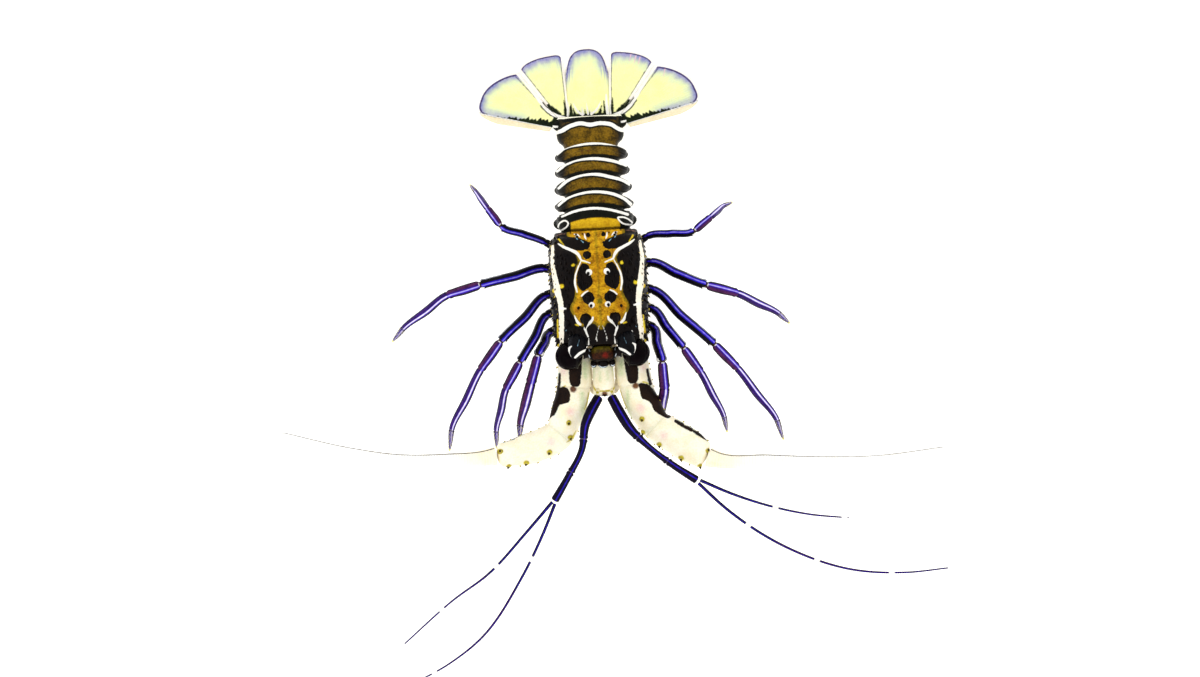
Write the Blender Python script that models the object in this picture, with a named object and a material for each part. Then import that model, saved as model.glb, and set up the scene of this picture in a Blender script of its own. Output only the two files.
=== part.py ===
"""Juvenile painted spiny lobster, a still life-size model standing on a floor.

Lengths are written in millimetres in the animal's own frame and turned to metres
where a mesh is made. In that frame X = 0 is the animal's midline, Y = 0 the front
edge of its carapace, and Z = 0 the floor. The tail points along +Y, the head along
-Y, and the animal's left side is +X. All parts hang from one empty, which puts the
world origin on the floor under the middle of the whole outline.
"""
import math
import random

import bmesh
import bpy
import numpy as np
from mathutils import Vector

MM = 0.001
GAP = 0.3
SEED = 11
ORIGIN = (-2.45, 6.35)
SIDES = {"left": 1, "right": -1}
WELD = 0.000002
SHARP_ANGLE = 40

# Spines: least length of a bent one, how deep and how wide the sunk root is as shares of the radius
LONG_SPINE = 2.4
SPINE_SUNK = 0.9
SPINE_ROOT = 1.15
# Height of a bent spine's middle ring, its share of the lean, and its share of the radius
SPINE_BEND = (0.45, 0.2, 0.62)

# Carapace: Y, half width, top, height of the widest point, lower edge
CARAPACE = (
    (46.0, 15.6, 31.6, 20.5, 16.5),
    (44.2, 17.0, 33.2, 21.0, 14.6),
    (41.0, 18.4, 35.2, 21.5, 13.4),
    (35.0, 19.2, 37.3, 22.0, 12.8),
    (27.0, 19.5, 38.2, 22.0, 12.8),
    (18.0, 19.4, 38.0, 22.0, 12.8),
    (9.0, 19.0, 36.6, 22.0, 13.0),
    (3.0, 18.4, 34.6, 22.0, 13.4),
    (0.0, 17.9, 33.2, 22.0, 13.8),
)
CARAPACE_UNDER = 15.5
BACK_POWER = 2.3
ARCH_LOW = -38
RIM_TURN_IN = 1.5
RIM_WIDE = 4.2
BACK_MIDDLE = 22.0
SPINE_LEAN = -0.9
NAMED_LEAN = (0.0, -0.22, 0.12)
ROW_LEAN = (0.0, -0.25, 0.1)
CHEEK_WAY = (0.4, -1.0, 0.25)
CHEEK_LEAN = (0.0, -0.1, 0.1)
# Small spines: length at the front edge as a share, loss along the shell, spread, and radius from the length
ROW_TALL = (1.25, 0.5 / 46.0)
ROW_SPREAD = (0.85, 1.15)
ROW_RADIUS = (0.3, 0.24)
SOCKET_CLEAR = 0.1

# Named spines of the back: X, Y, length, radius; the rows of small ones lie between them
BACK_SPINES = (
    (5.8, 10.9, 4.4, 1.75), (4.5, 19.0, 2.6, 1.2), (4.0, 36.0, 2.4, 1.2),
    (13.0, 9.6, 3.4, 1.15), (12.4, 16.2, 2.6, 0.9), (16.0, 12.6, 2.4, 0.8),
)
# Degrees round the section, first and last Y, step and length of each row of small spines
SPINE_ROWS = (
    (77, 23.0, 34.0, 6.0, 1.6), (48, 20.0, 42.0, 6.6, 1.8), (27, 2.5, 42.0, 6.2, 1.6),
    (8, 3.0, 42.0, 6.4, 1.5), (-14, 5.0, 40.0, 8.0, 1.5),
)
CHEEK_SPINE = (16.6, 1.5, 25.0, 3.8, 1.2)

# Abdomen: Y, half width, top, height of the widest point, lower edge
ABDOMEN = (
    (46.3, 15.2, 30.8, 20.0, 14.6),
    (52.0, 15.4, 31.4, 19.5, 13.8),
    (59.0, 15.3, 30.2, 18.5, 12.6),
    (66.0, 14.9, 28.0, 16.8, 11.2),
    (73.0, 14.5, 25.0, 14.8, 9.8),
    (80.0, 14.2, 21.4, 12.6, 8.2),
    (87.0, 13.8, 17.6, 10.4, 6.6),
    (92.0, 12.0, 14.6, 9.0, 5.6),
)
ABDOMEN_JOINTS = (46.3, 55.6, 61.8, 68.9, 75.3, 81.3, 92.0)
RING_GAP = 0.4
ABDOMEN_FLOOR_RISE = 0.9
ABDOMEN_MIDDLE = 14.0
# Share of a ring's length, its scale there, and the part of its joint's pinch there
SEGMENT_STEPS = ((0.0, 0.965, 1.0), (0.25, 0.99, 0.5), (0.55, 1.0, 0.12), (0.86, 1.0, 0.0), (1.0, 0.965, 1.0))
JOINT_PINCH = (0.04, 0.18, 0.2, 0.2, 0.2, 0.2, 0.03)
RING_MIDDLE = 0.6
# The flanks of the rings are drawn forward: Y at the midline, and by how much at FLANK_X
FLANK_BOW = ((46.3, 0.0), (52.0, 2.6), (58.0, 4.2), (80.0, 4.0), (88.0, 3.0), (92.0, 0.6))
FLANK_X = 15.0
# Side point under a ring: shares of the ring's length for its place, its tip's lean and its half widths,
# share of the bow, and steps inwards and downwards of its root, middle and tip
PLEURON_AT = 0.62
PLEURON_LEAN = 0.22
PLEURON_SHARES = (0.32, 0.28)
PLEURON_BOW = 0.8
PLEURON_IN = (2.3, 1.0, 0.6)
PLEURON_DOWN = (1.0, 0.8, 2.0)
# Leaf under a ring: its place as a share of the half width, then rows of steps out, back and up,
# half width and thickness
LEAF_OUT = 0.52
SWIMMERET = ((0.0, 0.0, 1.2, 1.2, 0.5), (0.0, 0.8, -2.0, 2.3, 0.45), (-0.4, 1.8, -4.4, 0.8, 0.35))

# Eyes and the horns that curve over them
EYE_CENTRE = (13.4, -3.8, 28.5)
EYE_RADIUS = 5.5
HORN = (
    (9.2, 5.0, 30.0, 3.8, 3.0),
    (9.6, 1.4, 33.6, 3.7, 2.7),
    (10.2, -1.2, 35.8, 3.1, 2.1),
    (11.1, -3.2, 37.6, 1.9, 1.3),
    (12.1, -4.6, 38.7, 0.3, 0.3),
)
# Bar between the eyes, swollen in the middle: half of it, from the midline outwards
EYESTALK = (
    (0.0, -3.4, 28.6, 3.0, 2.3), (3.4, -3.4, 28.4, 2.9, 2.1), (4.9, -3.0, 28.2, 2.0, 1.8),
    (7.6, -2.9, 28.3, 2.3, 2.2),
)

# Head: plate that carries the antennules, its two spines, mouth block and jaw feet
HEAD_PLATE = (
    (0.0, -GAP, 19.2, 4.1, 5.6), (0.0, -6.0, 18.8, 4.1, 5.2), (0.0, -12.0, 18.4, 4.2, 4.5),
    (0.0, -18.0, 18.0, 4.3, 3.6), (0.0, -20.5, 17.9, 4.3, 3.0),
)
HEAD_PLATE_SPINE = (2.6, -18.0, 20.6, 2.6, 0.8)
MOUTH = ((0.0, 4.2, 10.8, 3.9, 2.6), (0.0, -3.0, 10.4, 4.3, 2.0), (0.0, -10.0, 10.6, 3.4, 1.3))
JAW_FOOT = (
    (2.6, 1.6, 10.2, 1.7, 1.6), (5.4, -3.6, 8.8, 1.8, 1.6), (6.0, -10.0, 8.2, 1.6, 1.4),
    (5.4, -15.5, 7.2, 1.2, 1.1), (4.6, -18.6, 5.0, 0.9, 0.8), (3.6, -19.4, 2.4, 0.5, 0.5),
)
STERNUM = (
    (0.0, 4.6, 11.1, 4.0, 4.1), (0.0, 14.0, 11.1, 6.4, 4.1), (0.0, 28.0, 11.1, 8.6, 4.1),
    (0.0, 42.0, 11.1, 9.6, 4.1), (0.0, 45.4, 11.1, 8.0, 4.0),
)
COXA_SWELL = 1.0

# Limbs: rows of X, Y, Z, half width, half height, with X outwards from the midline
HIP_Y = {1: 8.0, 2: 15.0, 3: 22.4, 4: 30.4, 5: 38.6}
HIP_X = 14.4
HIP_Z = 9.4
SHOULDER_X = 20.6
SHOULDER_Y = {1: 6.0, 2: 13.6, 3: 21.4, 4: 32.0, 5: 42.6}
KNEE_Z = {1: 25.0, 2: 27.0, 3: 28.0, 4: 26.0, 5: 22.0}
SHOULDER_RISE = 1.0
LEG_GIRTH = {1: 2.05, 2: 1.9, 3: 1.95, 4: 2.0, 5: 1.6}
# Plan positions of each leg's knee, wrist, ankle and foot
LEG_POSE = {
    ("right", 1): ((25.6, -2.6), (29.2, -13.4), (34.6, -30.0), (35.6, -37.5)),
    ("right", 2): ((32.9, -4.8), (39.2, -15.2), (44.4, -32.0), (44.8, -39.4)),
    ("right", 3): ((40.1, 3.8), (48.8, -7.0), (62.3, -30.6), (63.9, -39.4)),
    ("right", 4): ((47.0, 26.7), (60.3, 23.4), (79.4, 11.2), (84.6, 5.9)),
    ("right", 5): ((37.7, 49.8), (42.6, 57.0), (47.4, 64.6), (49.7, 67.7)),
    ("left", 1): ((23.6, -7.9), (24.0, -18.4), (22.2, -29.0), (20.2, -35.4)),
    ("left", 2): ((32.3, -2.8), (38.7, -12.9), (47.4, -31.4), (48.6, -38.0)),
    ("left", 3): ((44.6, -2.1), (53.3, -12.0), (68.6, -34.0), (71.1, -42.4)),
    ("left", 4): ((42.9, 21.6), (55.0, 17.7), (71.6, 8.8), (76.2, 4.5)),
    ("left", 5): ((39.3, 43.5), (46.2, 48.6), (52.4, 53.4), (55.9, 54.7)),
}
# Breastplate's leg joints: X and Z of their first rows, and the last one's share of the girth
COXA_ROOT = ((3.0, 10.6), (9.0, 10.0))
COXA_END = 0.9
# Heights along a leg as shares of its knee's, and half widths as shares of its girth
THIGH_HIGH = 0.52
LOWER_ARCH = 0.5
SHOULDER_GIRTH = 0.95
THIGH_TALL = 1.2
KNEE_TALL = 1.05
CLAW_SHARE = 0.55
WRIST_HIGH = 0.86
SHIN_HIGH = 0.56
ANKLE_HIGH = 0.24
CLAW_HIGH = 0.1
WRIST_GIRTH = 0.78
SHIN_GIRTH = 0.7
ANKLE_GIRTH = 0.5
CLAW_GIRTH = 0.42
FOOT_FLAT = 0.5

# Spines of an antenna's stout joints: place among 24 round the joint, and length
PEDUNCLE_SPOTS = ((1, 2.0), (11, 2.0), (5, 1.5))
PEDUNCLE_ROUND = 24
PEDUNCLE_SKIPPED = 0.25
PEDUNCLE_FORWARD = 0.8
PEDUNCLE_SPREAD = (0.8, 1.3)
PEDUNCLE_RADIUS = (0.3, 0.22)
PLATE_CLEAR = 8.0
# Antennae: base, stalk and flagellum, each from the last one's end
ANTENNA = {
    "right": (
        ((11.0, -0.4, 17.4, 6.2, 4.9), (11.7, -8.0, 17.4, 6.6, 5.1), (12.2, -15.5, 17.5, 6.8, 5.3),
         (14.0, -23.0, 17.5, 6.8, 5.2), (16.4, -29.2, 17.5, 6.5, 5.0), (18.8, -34.4, 17.6, 6.0, 4.7)),
        ((18.8, -34.4, 17.6, 6.0, 4.7), (26.0, -38.2, 17.8, 6.4, 4.8), (35.0, -40.6, 18.6, 5.9, 4.6),
         (44.6, -42.0, 19.7, 4.5, 3.9)),
        ((44.6, -42.0, 19.7, 3.9, 3.5), (48.5, -42.4, 20.3, 3.4, 3.2), (64.4, -42.2, 23.0, 2.6, 2.5),
         (83.6, -40.6, 27.0, 1.9, 1.8), (102.4, -36.3, 31.0, 1.3, 1.2), (128.4, -27.9, 36.0, 0.45, 0.45)),
    ),
    "left": (
        ((11.0, -0.4, 17.4, 6.2, 4.9), (11.7, -8.0, 17.4, 6.6, 5.1), (12.4, -15.5, 17.5, 6.8, 5.3),
         (14.2, -22.6, 17.5, 6.8, 5.2), (16.8, -28.2, 17.5, 6.6, 5.0), (19.8, -33.2, 17.6, 6.2, 4.7)),
        ((19.8, -33.2, 17.6, 6.2, 4.7), (26.4, -37.8, 17.8, 6.8, 4.8), (33.4, -42.8, 18.6, 6.6, 4.7),
         (39.6, -47.0, 19.6, 5.4, 4.3)),
        ((39.6, -47.0, 19.6, 4.1, 3.6), (43.0, -48.2, 20.2, 3.5, 3.3), (64.1, -49.7, 24.0, 2.6, 2.5),
         (84.1, -50.8, 28.0, 1.9, 1.8), (106.9, -50.9, 32.0, 1.2, 1.1), (133.2, -48.2, 36.0, 0.45, 0.45)),
    ),
}

# Antennules: stalk, then the outer and the inner flagellum
ANTENNULE_STALK = {
    "right": ((2.6, -20.9, 18.6, 1.8, 1.8), (5.8, -26.0, 23.2, 1.7, 1.6), (8.3, -31.0, 25.8, 1.6, 1.5),
              (10.4, -41.3, 26.8, 1.35, 1.3), (16.2, -51.4, 27.8, 1.4, 1.2), (22.4, -61.0, 28.8, 1.7, 1.0)),
    "left": ((2.6, -20.9, 18.6, 1.8, 1.8), (5.8, -27.6, 23.4, 1.7, 1.6), (9.6, -34.2, 25.8, 1.6, 1.5),
             (14.8, -40.0, 26.8, 1.35, 1.3), (25.4, -49.2, 27.8, 1.4, 1.2), (34.9, -56.0, 28.8, 1.7, 1.0)),
}
ANTENNULE_FLAGELLA = {
    ("right", "outer"): ((23.2, -61.2, 29.0), (33.7, -72.2, 30.6), (50.6, -88.7, 31.4),
                         (64.4, -97.8, 30.0), (85.3, -114.6, 26.0)),
    ("right", "inner"): ((22.2, -62.0, 28.9), (27.1, -72.6, 30.0), (37.1, -90.7, 29.0),
                         (55.3, -114.7, 25.0), (67.8, -123.6, 22.0), (86.3, -132.6, 18.0)),
    ("left", "outer"): ((36.0, -55.9, 29.0), (48.0, -61.8, 30.6), (61.8, -67.2, 31.4),
                        (78.1, -71.7, 31.0), (94.4, -74.2, 29.0)),
    ("left", "inner"): ((35.2, -57.0, 28.9), (45.9, -67.9, 30.0), (69.4, -84.8, 29.0),
                        (94.0, -94.8, 26.0), (116.7, -97.5, 22.0), (133.4, -96.8, 19.0)),
}
FLAGELLUM_THICK = 0.72
FLAGELLUM_TIP = 0.32

# Tail fan plates: base corners, end corners, how far the end bulges, heights, power, skew
TAIL_PLATES = {
    "telson": ((-8.1, 92.3), (8.1, 92.3), (-8.8, 107.8), (8.8, 107.8), 12.4, (9.6, 3.4), 2.6, 1.0),
    "uropod_inner": ((8.7, 92.3), (12.7, 92.3), (9.4, 113.3), (27.2, 110.9), 5.7, (8.9, 2.9), 2.6, 0.58),
    "uropod_outer": ((13.4, 92.2), (16.3, 86.9), (28.5, 111.9), (35.4, 90.7), 12.2, (8.3, 2.4), 2.8, 2.0),
}
PLATE_THICK = (1.5, 0.6)
PLATE_CAMBER = 1.0
PLATE_COLUMNS = 12
PLATE_ROWS = 7
PLATE_SWELL = 1.4
RIB_HEIGHT = 0.22
UROPOD_BASE = ((7.0, 86.0), (14.0, 86.6), (15.2, 88.1), (13.1, 91.9), (7.0, 91.9))
UROPOD_BASE_Z = (5.4, 10.8)

COLOURS = {
    "shell": ("#1A120C", 0.35),
    "abdomen": ("#5A3E08", 0.35),
    "fan": ("#EDF0A8", 0.45),
    "eye": ("#0C060A", 0.08),
    "stalk": ("#33206A", 0.4),
    "peduncle": ("#F2DCBE", 0.4),
    "feeler": ("#2A1030", 0.45),
    "leg": ("#2A169A", 0.32),
    "lower_leg": ("#44207E", 0.32),
    "claw": ("#8A6A70", 0.4),
    "underside": ("#D8CDB4", 0.5),
}


def clear_scene():
    for thing in list(bpy.data.objects):
        bpy.data.objects.remove(thing)


def linear(hex_colour):
    """sRGB hex to linear light."""
    values = [int(hex_colour[i:i + 2], 16) / 255 for i in (1, 3, 5)]
    return [v / 12.92 if v <= 0.04045 else ((v + 0.055) / 1.055) ** 2.4 for v in values] + [1.0]


def material(name, kind):
    hex_colour, roughness = COLOURS[kind]
    made = bpy.data.materials.new(name)
    made.use_nodes = True
    shader = made.node_tree.nodes["Principled BSDF"]
    shader.inputs["Base Color"].default_value = linear(hex_colour)
    shader.inputs["Roughness"].default_value = roughness
    shader.inputs["Metallic"].default_value = 0.0
    return made


def rows(stations, side):
    """Stations with X turned to the animal's side."""
    table = np.array(stations, dtype=float)
    table[:, 0] *= side
    return table


def smooth(stations, count):
    """Cubic curve through the stations, read at evenly spaced distances."""
    table = np.asarray(stations, dtype=float)
    steps = np.linalg.norm(np.diff(table[:, :3], axis=0), axis=1)
    at = np.concatenate(([0.0], np.cumsum(steps)))
    slope = np.gradient(table, at, axis=0)
    want = np.linspace(0.0, at[-1], count)
    k = np.clip(np.searchsorted(at, want, side="right") - 1, 0, len(at) - 2)
    span = (at[k + 1] - at[k])[:, None]
    t = (want - at[k])[:, None] / span
    start = (2 * t ** 3 - 3 * t ** 2 + 1) * table[k] + (t ** 3 - 2 * t ** 2 + t) * span * slope[k]
    end = (3 * t ** 2 - 2 * t ** 3) * table[k + 1] + (t ** 3 - t ** 2) * span * slope[k + 1]
    return start + end


def unit(vector):
    return vector / np.linalg.norm(vector)


def tube_rings(table, sides, start_way=None, end_way=None):
    """Elliptical rings along a path of X, Y, Z, half width, half height."""
    ways = np.gradient(table[:, :3], axis=0)
    if start_way is not None:
        ways[0] = start_way
    if end_way is not None:
        ways[-1] = end_way
    angle = np.linspace(0.0, 2 * math.pi, sides, endpoint=False)[:, None]
    rings = []
    across = np.array((1.0, 0.0, 0.0))
    for row, way in zip(table, ways):
        way = unit(way)
        flat = np.cross(way, (0.0, 0.0, 1.0))
        if np.linalg.norm(flat) > 0.05:
            across = unit(flat)
        else:
            across = unit(across - way * across.dot(way))
        up = np.cross(across, way)
        rings.append(row[:3] + across * row[3] * np.cos(angle) + up * row[4] * np.sin(angle))
    return rings


def skin(rings):
    """Closed surface over rings of equal count, with a fan of triangles at each end."""
    count = len(rings[0])
    points = [tuple(p) for ring in rings for p in ring]
    faces = []
    for r in range(len(rings) - 1):
        for i in range(count):
            a = r * count + i
            b = r * count + (i + 1) % count
            faces.append((a, b, b + count))
            faces.append((a, b + count, a + count))
    for ring_start, ring, turn in ((0, rings[0], 1), (len(rings) * count - count, rings[-1], -1)):
        centre = len(points)
        points.append(tuple(np.mean(ring, axis=0)))
        for i in range(count):
            pair = (ring_start + (i + 1) % count, ring_start + i)[::turn]
            faces.append((centre,) + pair)
    return points, faces


def solid(name, points, faces):
    """Object from millimetre points, with its faces turned outwards."""
    mesh = bpy.data.meshes.new(name)
    mesh.from_pydata([(x * MM, y * MM, z * MM) for x, y, z in points], [], faces)
    work = bmesh.new()
    work.from_mesh(mesh)
    bmesh.ops.recalc_face_normals(work, faces=work.faces)
    work.to_mesh(mesh)
    work.free()
    made = bpy.data.objects.new(name, mesh)
    bpy.context.collection.objects.link(made)
    return made


def tube(name, stations, count, sides, start_way=None, end_way=None):
    table = smooth(stations, count)
    return solid(name, *skin(tube_rings(table, sides, start_way, end_way)))


def body_ring(row, under, arc_points):
    """Section of the trunk: a rounded arch, turned in at its lower edges, flat below."""
    y, half, top, wide, edge = row
    low = math.radians(ARCH_LOW)
    angle = np.linspace(low, math.pi - low, arc_points)
    power = 2 / BACK_POWER
    x = half * np.sign(np.cos(angle)) * np.abs(np.cos(angle)) ** power
    rise = np.abs(np.sin(angle)) ** power
    drop = (wide - edge) / abs(math.sin(low)) ** power
    z = np.where(np.sin(angle) > 0, wide + (top - wide) * rise, wide - drop * rise)
    edge_x = x[0]
    turned, flat = edge_x - RIM_TURN_IN, edge_x - RIM_WIDE
    below = [(-turned, edge + 0.1), (-flat, under), (0.0, under), (flat, under), (turned, edge + 0.1)]
    ring = [(px, y, pz) for px, pz in zip(x, z)] + [(px, y, pz) for px, pz in below]
    return np.array(ring)


def between(table, y):
    """Row of a trunk table at any Y, by straight lines between its rows."""
    grid = np.array(sorted(table))
    return [y] + [float(np.interp(y, grid[:, 0], grid[:, k])) for k in range(1, 5)]


def back_point(y, angle):
    """Point of the carapace at Y and at an angle round the section, and the way out of it."""
    def at(yy, aa):
        _, half, top, wide, edge = between(CARAPACE, yy)
        power = 2 / BACK_POWER
        x = half * math.copysign(abs(math.cos(aa)) ** power, math.cos(aa))
        rise = abs(math.sin(aa)) ** power
        drop = (wide - edge) / abs(math.sin(math.radians(ARCH_LOW))) ** power
        return np.array((x, yy, wide + (top - wide) * rise if aa > 0 else wide - drop * rise))
    here = at(y, angle)
    along = at(y + 0.5, angle) - at(y - 0.5, angle)
    round_it = at(y, angle + 0.02) - at(y, angle - 0.02)
    out = unit(np.cross(along, round_it))
    if out.dot(here - np.array((0.0, y, BACK_MIDDLE))) < 0:
        out = -out
    return here, out


def spine(root, way, length, radius, lean=(0.0, 0.0, 0.0), sides=5):
    """Tapered spine with its root sunk in; a long one bends over from the middle."""
    way = unit(np.asarray(way, dtype=float))
    lean = np.asarray(lean, dtype=float) * length
    root = np.asarray(root, dtype=float)
    high, share, thin = SPINE_BEND
    sunk = np.append(root - way * radius * SPINE_SUNK, (radius * SPINE_ROOT,) * 2)
    middle = np.append(root + way * length * high + lean * share, (radius * thin,) * 2)
    rings = tube_rings(np.array((sunk, middle)), sides)
    if length < LONG_SPINE:
        rings = rings[:1]
    points = [tuple(point) for ring in rings for point in ring] + [tuple(root + way * length + lean)]
    faces = [tuple(range(sides))]
    for k in range(len(points) - 1 - sides):
        after = (k + 1) % sides
        faces += [(k, after, after + sides), (k, after + sides, k + sides)]
    last = len(points) - 1 - sides
    faces += [(last + k, last + (k + 1) % sides, last + sides) for k in range(sides)]
    return solid("spine", points, faces)


def fuse(body, pieces, operation="UNION"):
    """One Boolean on a collection of closed pieces, applied, keeping the largest body."""
    group = bpy.data.collections.new("pieces")
    for piece in pieces:
        group.objects.link(piece)
    step = body.modifiers.new("join", "BOOLEAN")
    step.operation = operation
    step.operand_type = "COLLECTION"
    step.collection = group
    step.solver = "EXACT"
    graph = bpy.context.evaluated_depsgraph_get()
    joined = bpy.data.meshes.new_from_object(body.evaluated_get(graph))
    body.modifiers.clear()
    body.data = joined
    for piece in pieces:
        bpy.data.objects.remove(piece)
    bpy.data.collections.remove(group)
    keep_largest(body)


def keep_largest(body):
    """Merges stray points and deletes every closed surface but the largest."""
    work = bmesh.new()
    work.from_mesh(body.data)
    bmesh.ops.remove_doubles(work, verts=work.verts, dist=WELD)
    bmesh.ops.dissolve_degenerate(work, edges=work.edges, dist=WELD)
    bmesh.ops.triangulate(work, faces=work.faces)
    islands = []
    left = set(work.faces)
    while left:
        island = {left.pop()}
        edge = list(island)
        while edge:
            face = edge.pop()
            near = {other for line in face.edges for other in line.link_faces} & left
            left -= near
            island |= near
            edge.extend(near)
        islands.append(island)
    largest = max(islands, key=lambda faces: sum(face.calc_area() for face in faces))
    loose = [face for face in work.faces if face not in largest]
    bmesh.ops.delete(work, geom=loose, context="FACES")
    work.to_mesh(body.data)
    work.free()


def finish(node, kind, root):
    """Gives a node its material, smooth shading and its origin at its root."""
    shift = Vector(root) * MM
    for vertex in node.data.vertices:
        vertex.co -= shift
    node.location = shift
    node.data.materials.clear()
    node.data.materials.append(material(node.name, kind))
    node.data.shade_smooth()
    node.data.set_sharp_from_angle(angle=math.radians(SHARP_ANGLE))


def ball(name, centre, radius, rings=8, sides=12):
    """Ball with its poles along Z."""
    table = []
    for k in range(1, rings):
        turn = math.pi * k / rings
        wide = radius * math.sin(turn)
        table.append((centre[0], centre[1], centre[2] - radius * math.cos(turn), wide, wide))
    made = skin(tube_rings(np.array(table), sides))
    made[0][-2] = (centre[0], centre[1], centre[2] - radius)
    made[0][-1] = (centre[0], centre[1], centre[2] + radius)
    return solid(name, *made)


def back_angle(x, y):
    """Angle round the section at which the back lies over a plan point."""
    half = between(CARAPACE, y)[1]
    return math.acos((x / half) ** (BACK_POWER / 2))


def carapace_spines():
    """Forward spines on each side: named ones on the back, then rows over it and down the flanks."""
    draw = random.Random(SEED)
    found = []
    for side in SIDES.values():
        for x, y, length, radius in BACK_SPINES:
            point, out = back_point(y, back_angle(x, y))
            mirror = np.array((side, 1, 1))
            way = out * mirror + np.array((0.0, SPINE_LEAN, 0.0))
            found.append(spine(point * mirror, way, length, radius, NAMED_LEAN))
        for degrees, first, last, step, length in SPINE_ROWS:
            y = first + draw.uniform(0, 1)
            while y < last:
                angle = math.radians(degrees + draw.uniform(-3, 3))
                angle = angle if side > 0 else math.pi - angle
                tall = length * (ROW_TALL[0] - ROW_TALL[1] * y) * draw.uniform(*ROW_SPREAD)
                point, out = side_point(y, angle)
                way = out + np.array((0.0, SPINE_LEAN, 0.0))
                found.append(spine(point, way, tall, ROW_RADIUS[0] + tall * ROW_RADIUS[1], ROW_LEAN))
                y += step * draw.uniform(*ROW_SPREAD)
        x, y, z, length, radius = CHEEK_SPINE
        way = np.array(CHEEK_WAY) * (side, 1, 1)
        found.append(spine((side * x, y, z), way, length, radius, CHEEK_LEAN))
    return found


def side_point(y, angle):
    """Carapace point for angles past the top and below the right side alike."""
    if angle > math.pi:
        point, out = back_point(y, math.pi - angle)
        return point * (-1, 1, 1), out * (-1, 1, 1)
    return back_point(y, angle)


def build_carapace():
    rings = [body_ring(row, CARAPACE_UNDER, 21) for row in CARAPACE]
    shell = solid("carapace", *skin(rings))
    pieces = carapace_spines()
    for side in SIDES.values():
        pieces.append(tube("horn", rows(HORN, side), 7, 9))
    fuse(shell, pieces)
    sockets = []
    for side in SIDES.values():
        centre = (side * EYE_CENTRE[0], EYE_CENTRE[1], EYE_CENTRE[2])
        sockets.append(ball("socket", centre, EYE_RADIUS + GAP + SOCKET_CLEAR, 10, 16))
    fuse(shell, sockets, "DIFFERENCE")
    finish(shell, "shell", (0, 0, CARAPACE_UNDER))


def build_eyes():
    for word, side in SIDES.items():
        centre = (side * EYE_CENTRE[0], EYE_CENTRE[1], EYE_CENTRE[2])
        eye = ball("eye_" + word, centre, EYE_RADIUS, 9, 14)
        finish(eye, "eye", centre)
    bar = [(-x, y, z, wide, tall) for x, y, z, wide, tall in EYESTALK[:0:-1]] + list(EYESTALK)
    stalks = tube("eyestalks", bar, 11, 10, (1, 0, 0), (1, 0, 0))
    finish(stalks, "stalk", EYESTALK[0][:3])


def build_head():
    node = tube("antennular_plate", HEAD_PLATE, 8, 12, (0, -1, 0), (0, -1, 0))
    x, y, z, length, radius = HEAD_PLATE_SPINE
    fuse(node, [spine((side * x, y, z), (side * 0.3, -0.9, 0.6), length, radius) for side in SIDES.values()])
    finish(node, "peduncle", HEAD_PLATE[0][:3])
    mouth = tube("mouthparts", MOUTH, 5, 10, (0, -1, 0), (0, -1, 0))
    fuse(mouth, [tube("maxilliped", rows(JAW_FOOT, side), 10, 7) for side in SIDES.values()])
    finish(mouth, "underside", MOUTH[0][:3])


def limb(names, lengths, kinds, sides, start_way, end_way=None):
    """Row of nodes along one limb; each shares its joint's plane with the next one."""
    made = []
    count = len(names)
    for k, name in enumerate(names):
        table = np.array(lengths[k][0], dtype=float)
        first = start_way if k == 0 else joint_way(lengths[k - 1][0], table)
        last = end_way if k == count - 1 else joint_way(table, lengths[k + 1][0])
        if k > 0:
            table[0, :3] += unit(first) * GAP / 2
        if k < count - 1:
            table[-1, :3] -= unit(last) * GAP / 2
        node = tube(name, table, lengths[k][1], sides, first, last)
        made.append((node, kinds[k], tuple(table[0, :3])))
    return made


def joint_way(before, after):
    before = np.asarray(before, dtype=float)
    after = np.asarray(after, dtype=float)
    return unit(unit(before[-1, :3] - before[-2, :3]) + unit(after[1, :3] - after[0, :3]))


def peduncle_spines(stations, side, draw):
    """Spines along the front edge, the top and the outer edge of an antenna's stout joints."""
    table = smooth(rows(stations, side), 9)
    rings = tube_rings(table, PEDUNCLE_ROUND)
    centre = table[:, :3]
    found = []
    for k in range(1, 8):
        forward = unit(centre[k + 1] - centre[k])
        for spot, length in PEDUNCLE_SPOTS:
            if draw.random() < PEDUNCLE_SKIPPED:
                continue
            spot = spot + draw.choice((-1, 0, 1))
            root = rings[k][spot % PEDUNCLE_ROUND]
            if abs(root[0]) < PLATE_CLEAR:
                continue
            out = unit(root - centre[k])
            tall = length * draw.uniform(*PEDUNCLE_SPREAD)
            radius = PEDUNCLE_RADIUS[0] + PEDUNCLE_RADIUS[1] * tall
            found.append(spine(root, out + forward * PEDUNCLE_FORWARD, tall, radius))
    return found


def build_antennae():
    draw = random.Random(SEED + 1)
    for word, side in SIDES.items():
        names = ["antenna_%s_%s" % (piece, word) for piece in ("base", "stalk", "flagellum")]
        lengths = [(rows(stations, side), count)
                   for stations, count in zip(ANTENNA[word], (8, 7, 16))]
        nodes = limb(names, lengths, ("peduncle", "peduncle", "peduncle"), 12, (0, -1, 0))
        for k, (node, kind, root) in enumerate(nodes):
            if k < 2:
                fuse(node, peduncle_spines(ANTENNA[word][k], side, draw))
            finish(node, kind, root)


def build_antennules():
    for word, side in SIDES.items():
        stalk = tube("antennule_stalk_" + word, rows(ANTENNULE_STALK[word], side), 12, 8, (0, -1, 0))
        finish(stalk, "feeler", rows(ANTENNULE_STALK[word], side)[0, :3])
        for place in ("outer", "inner"):
            route = rows(ANTENNULE_FLAGELLA[word, place], side)
            thick = np.linspace(FLAGELLUM_THICK, FLAGELLUM_TIP, len(route))[:, None]
            whip = tube("antennule_%s_%s" % (place, word), np.hstack((route, thick, thick)), 16, 6)
            finish(whip, "feeler", route[0])


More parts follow.
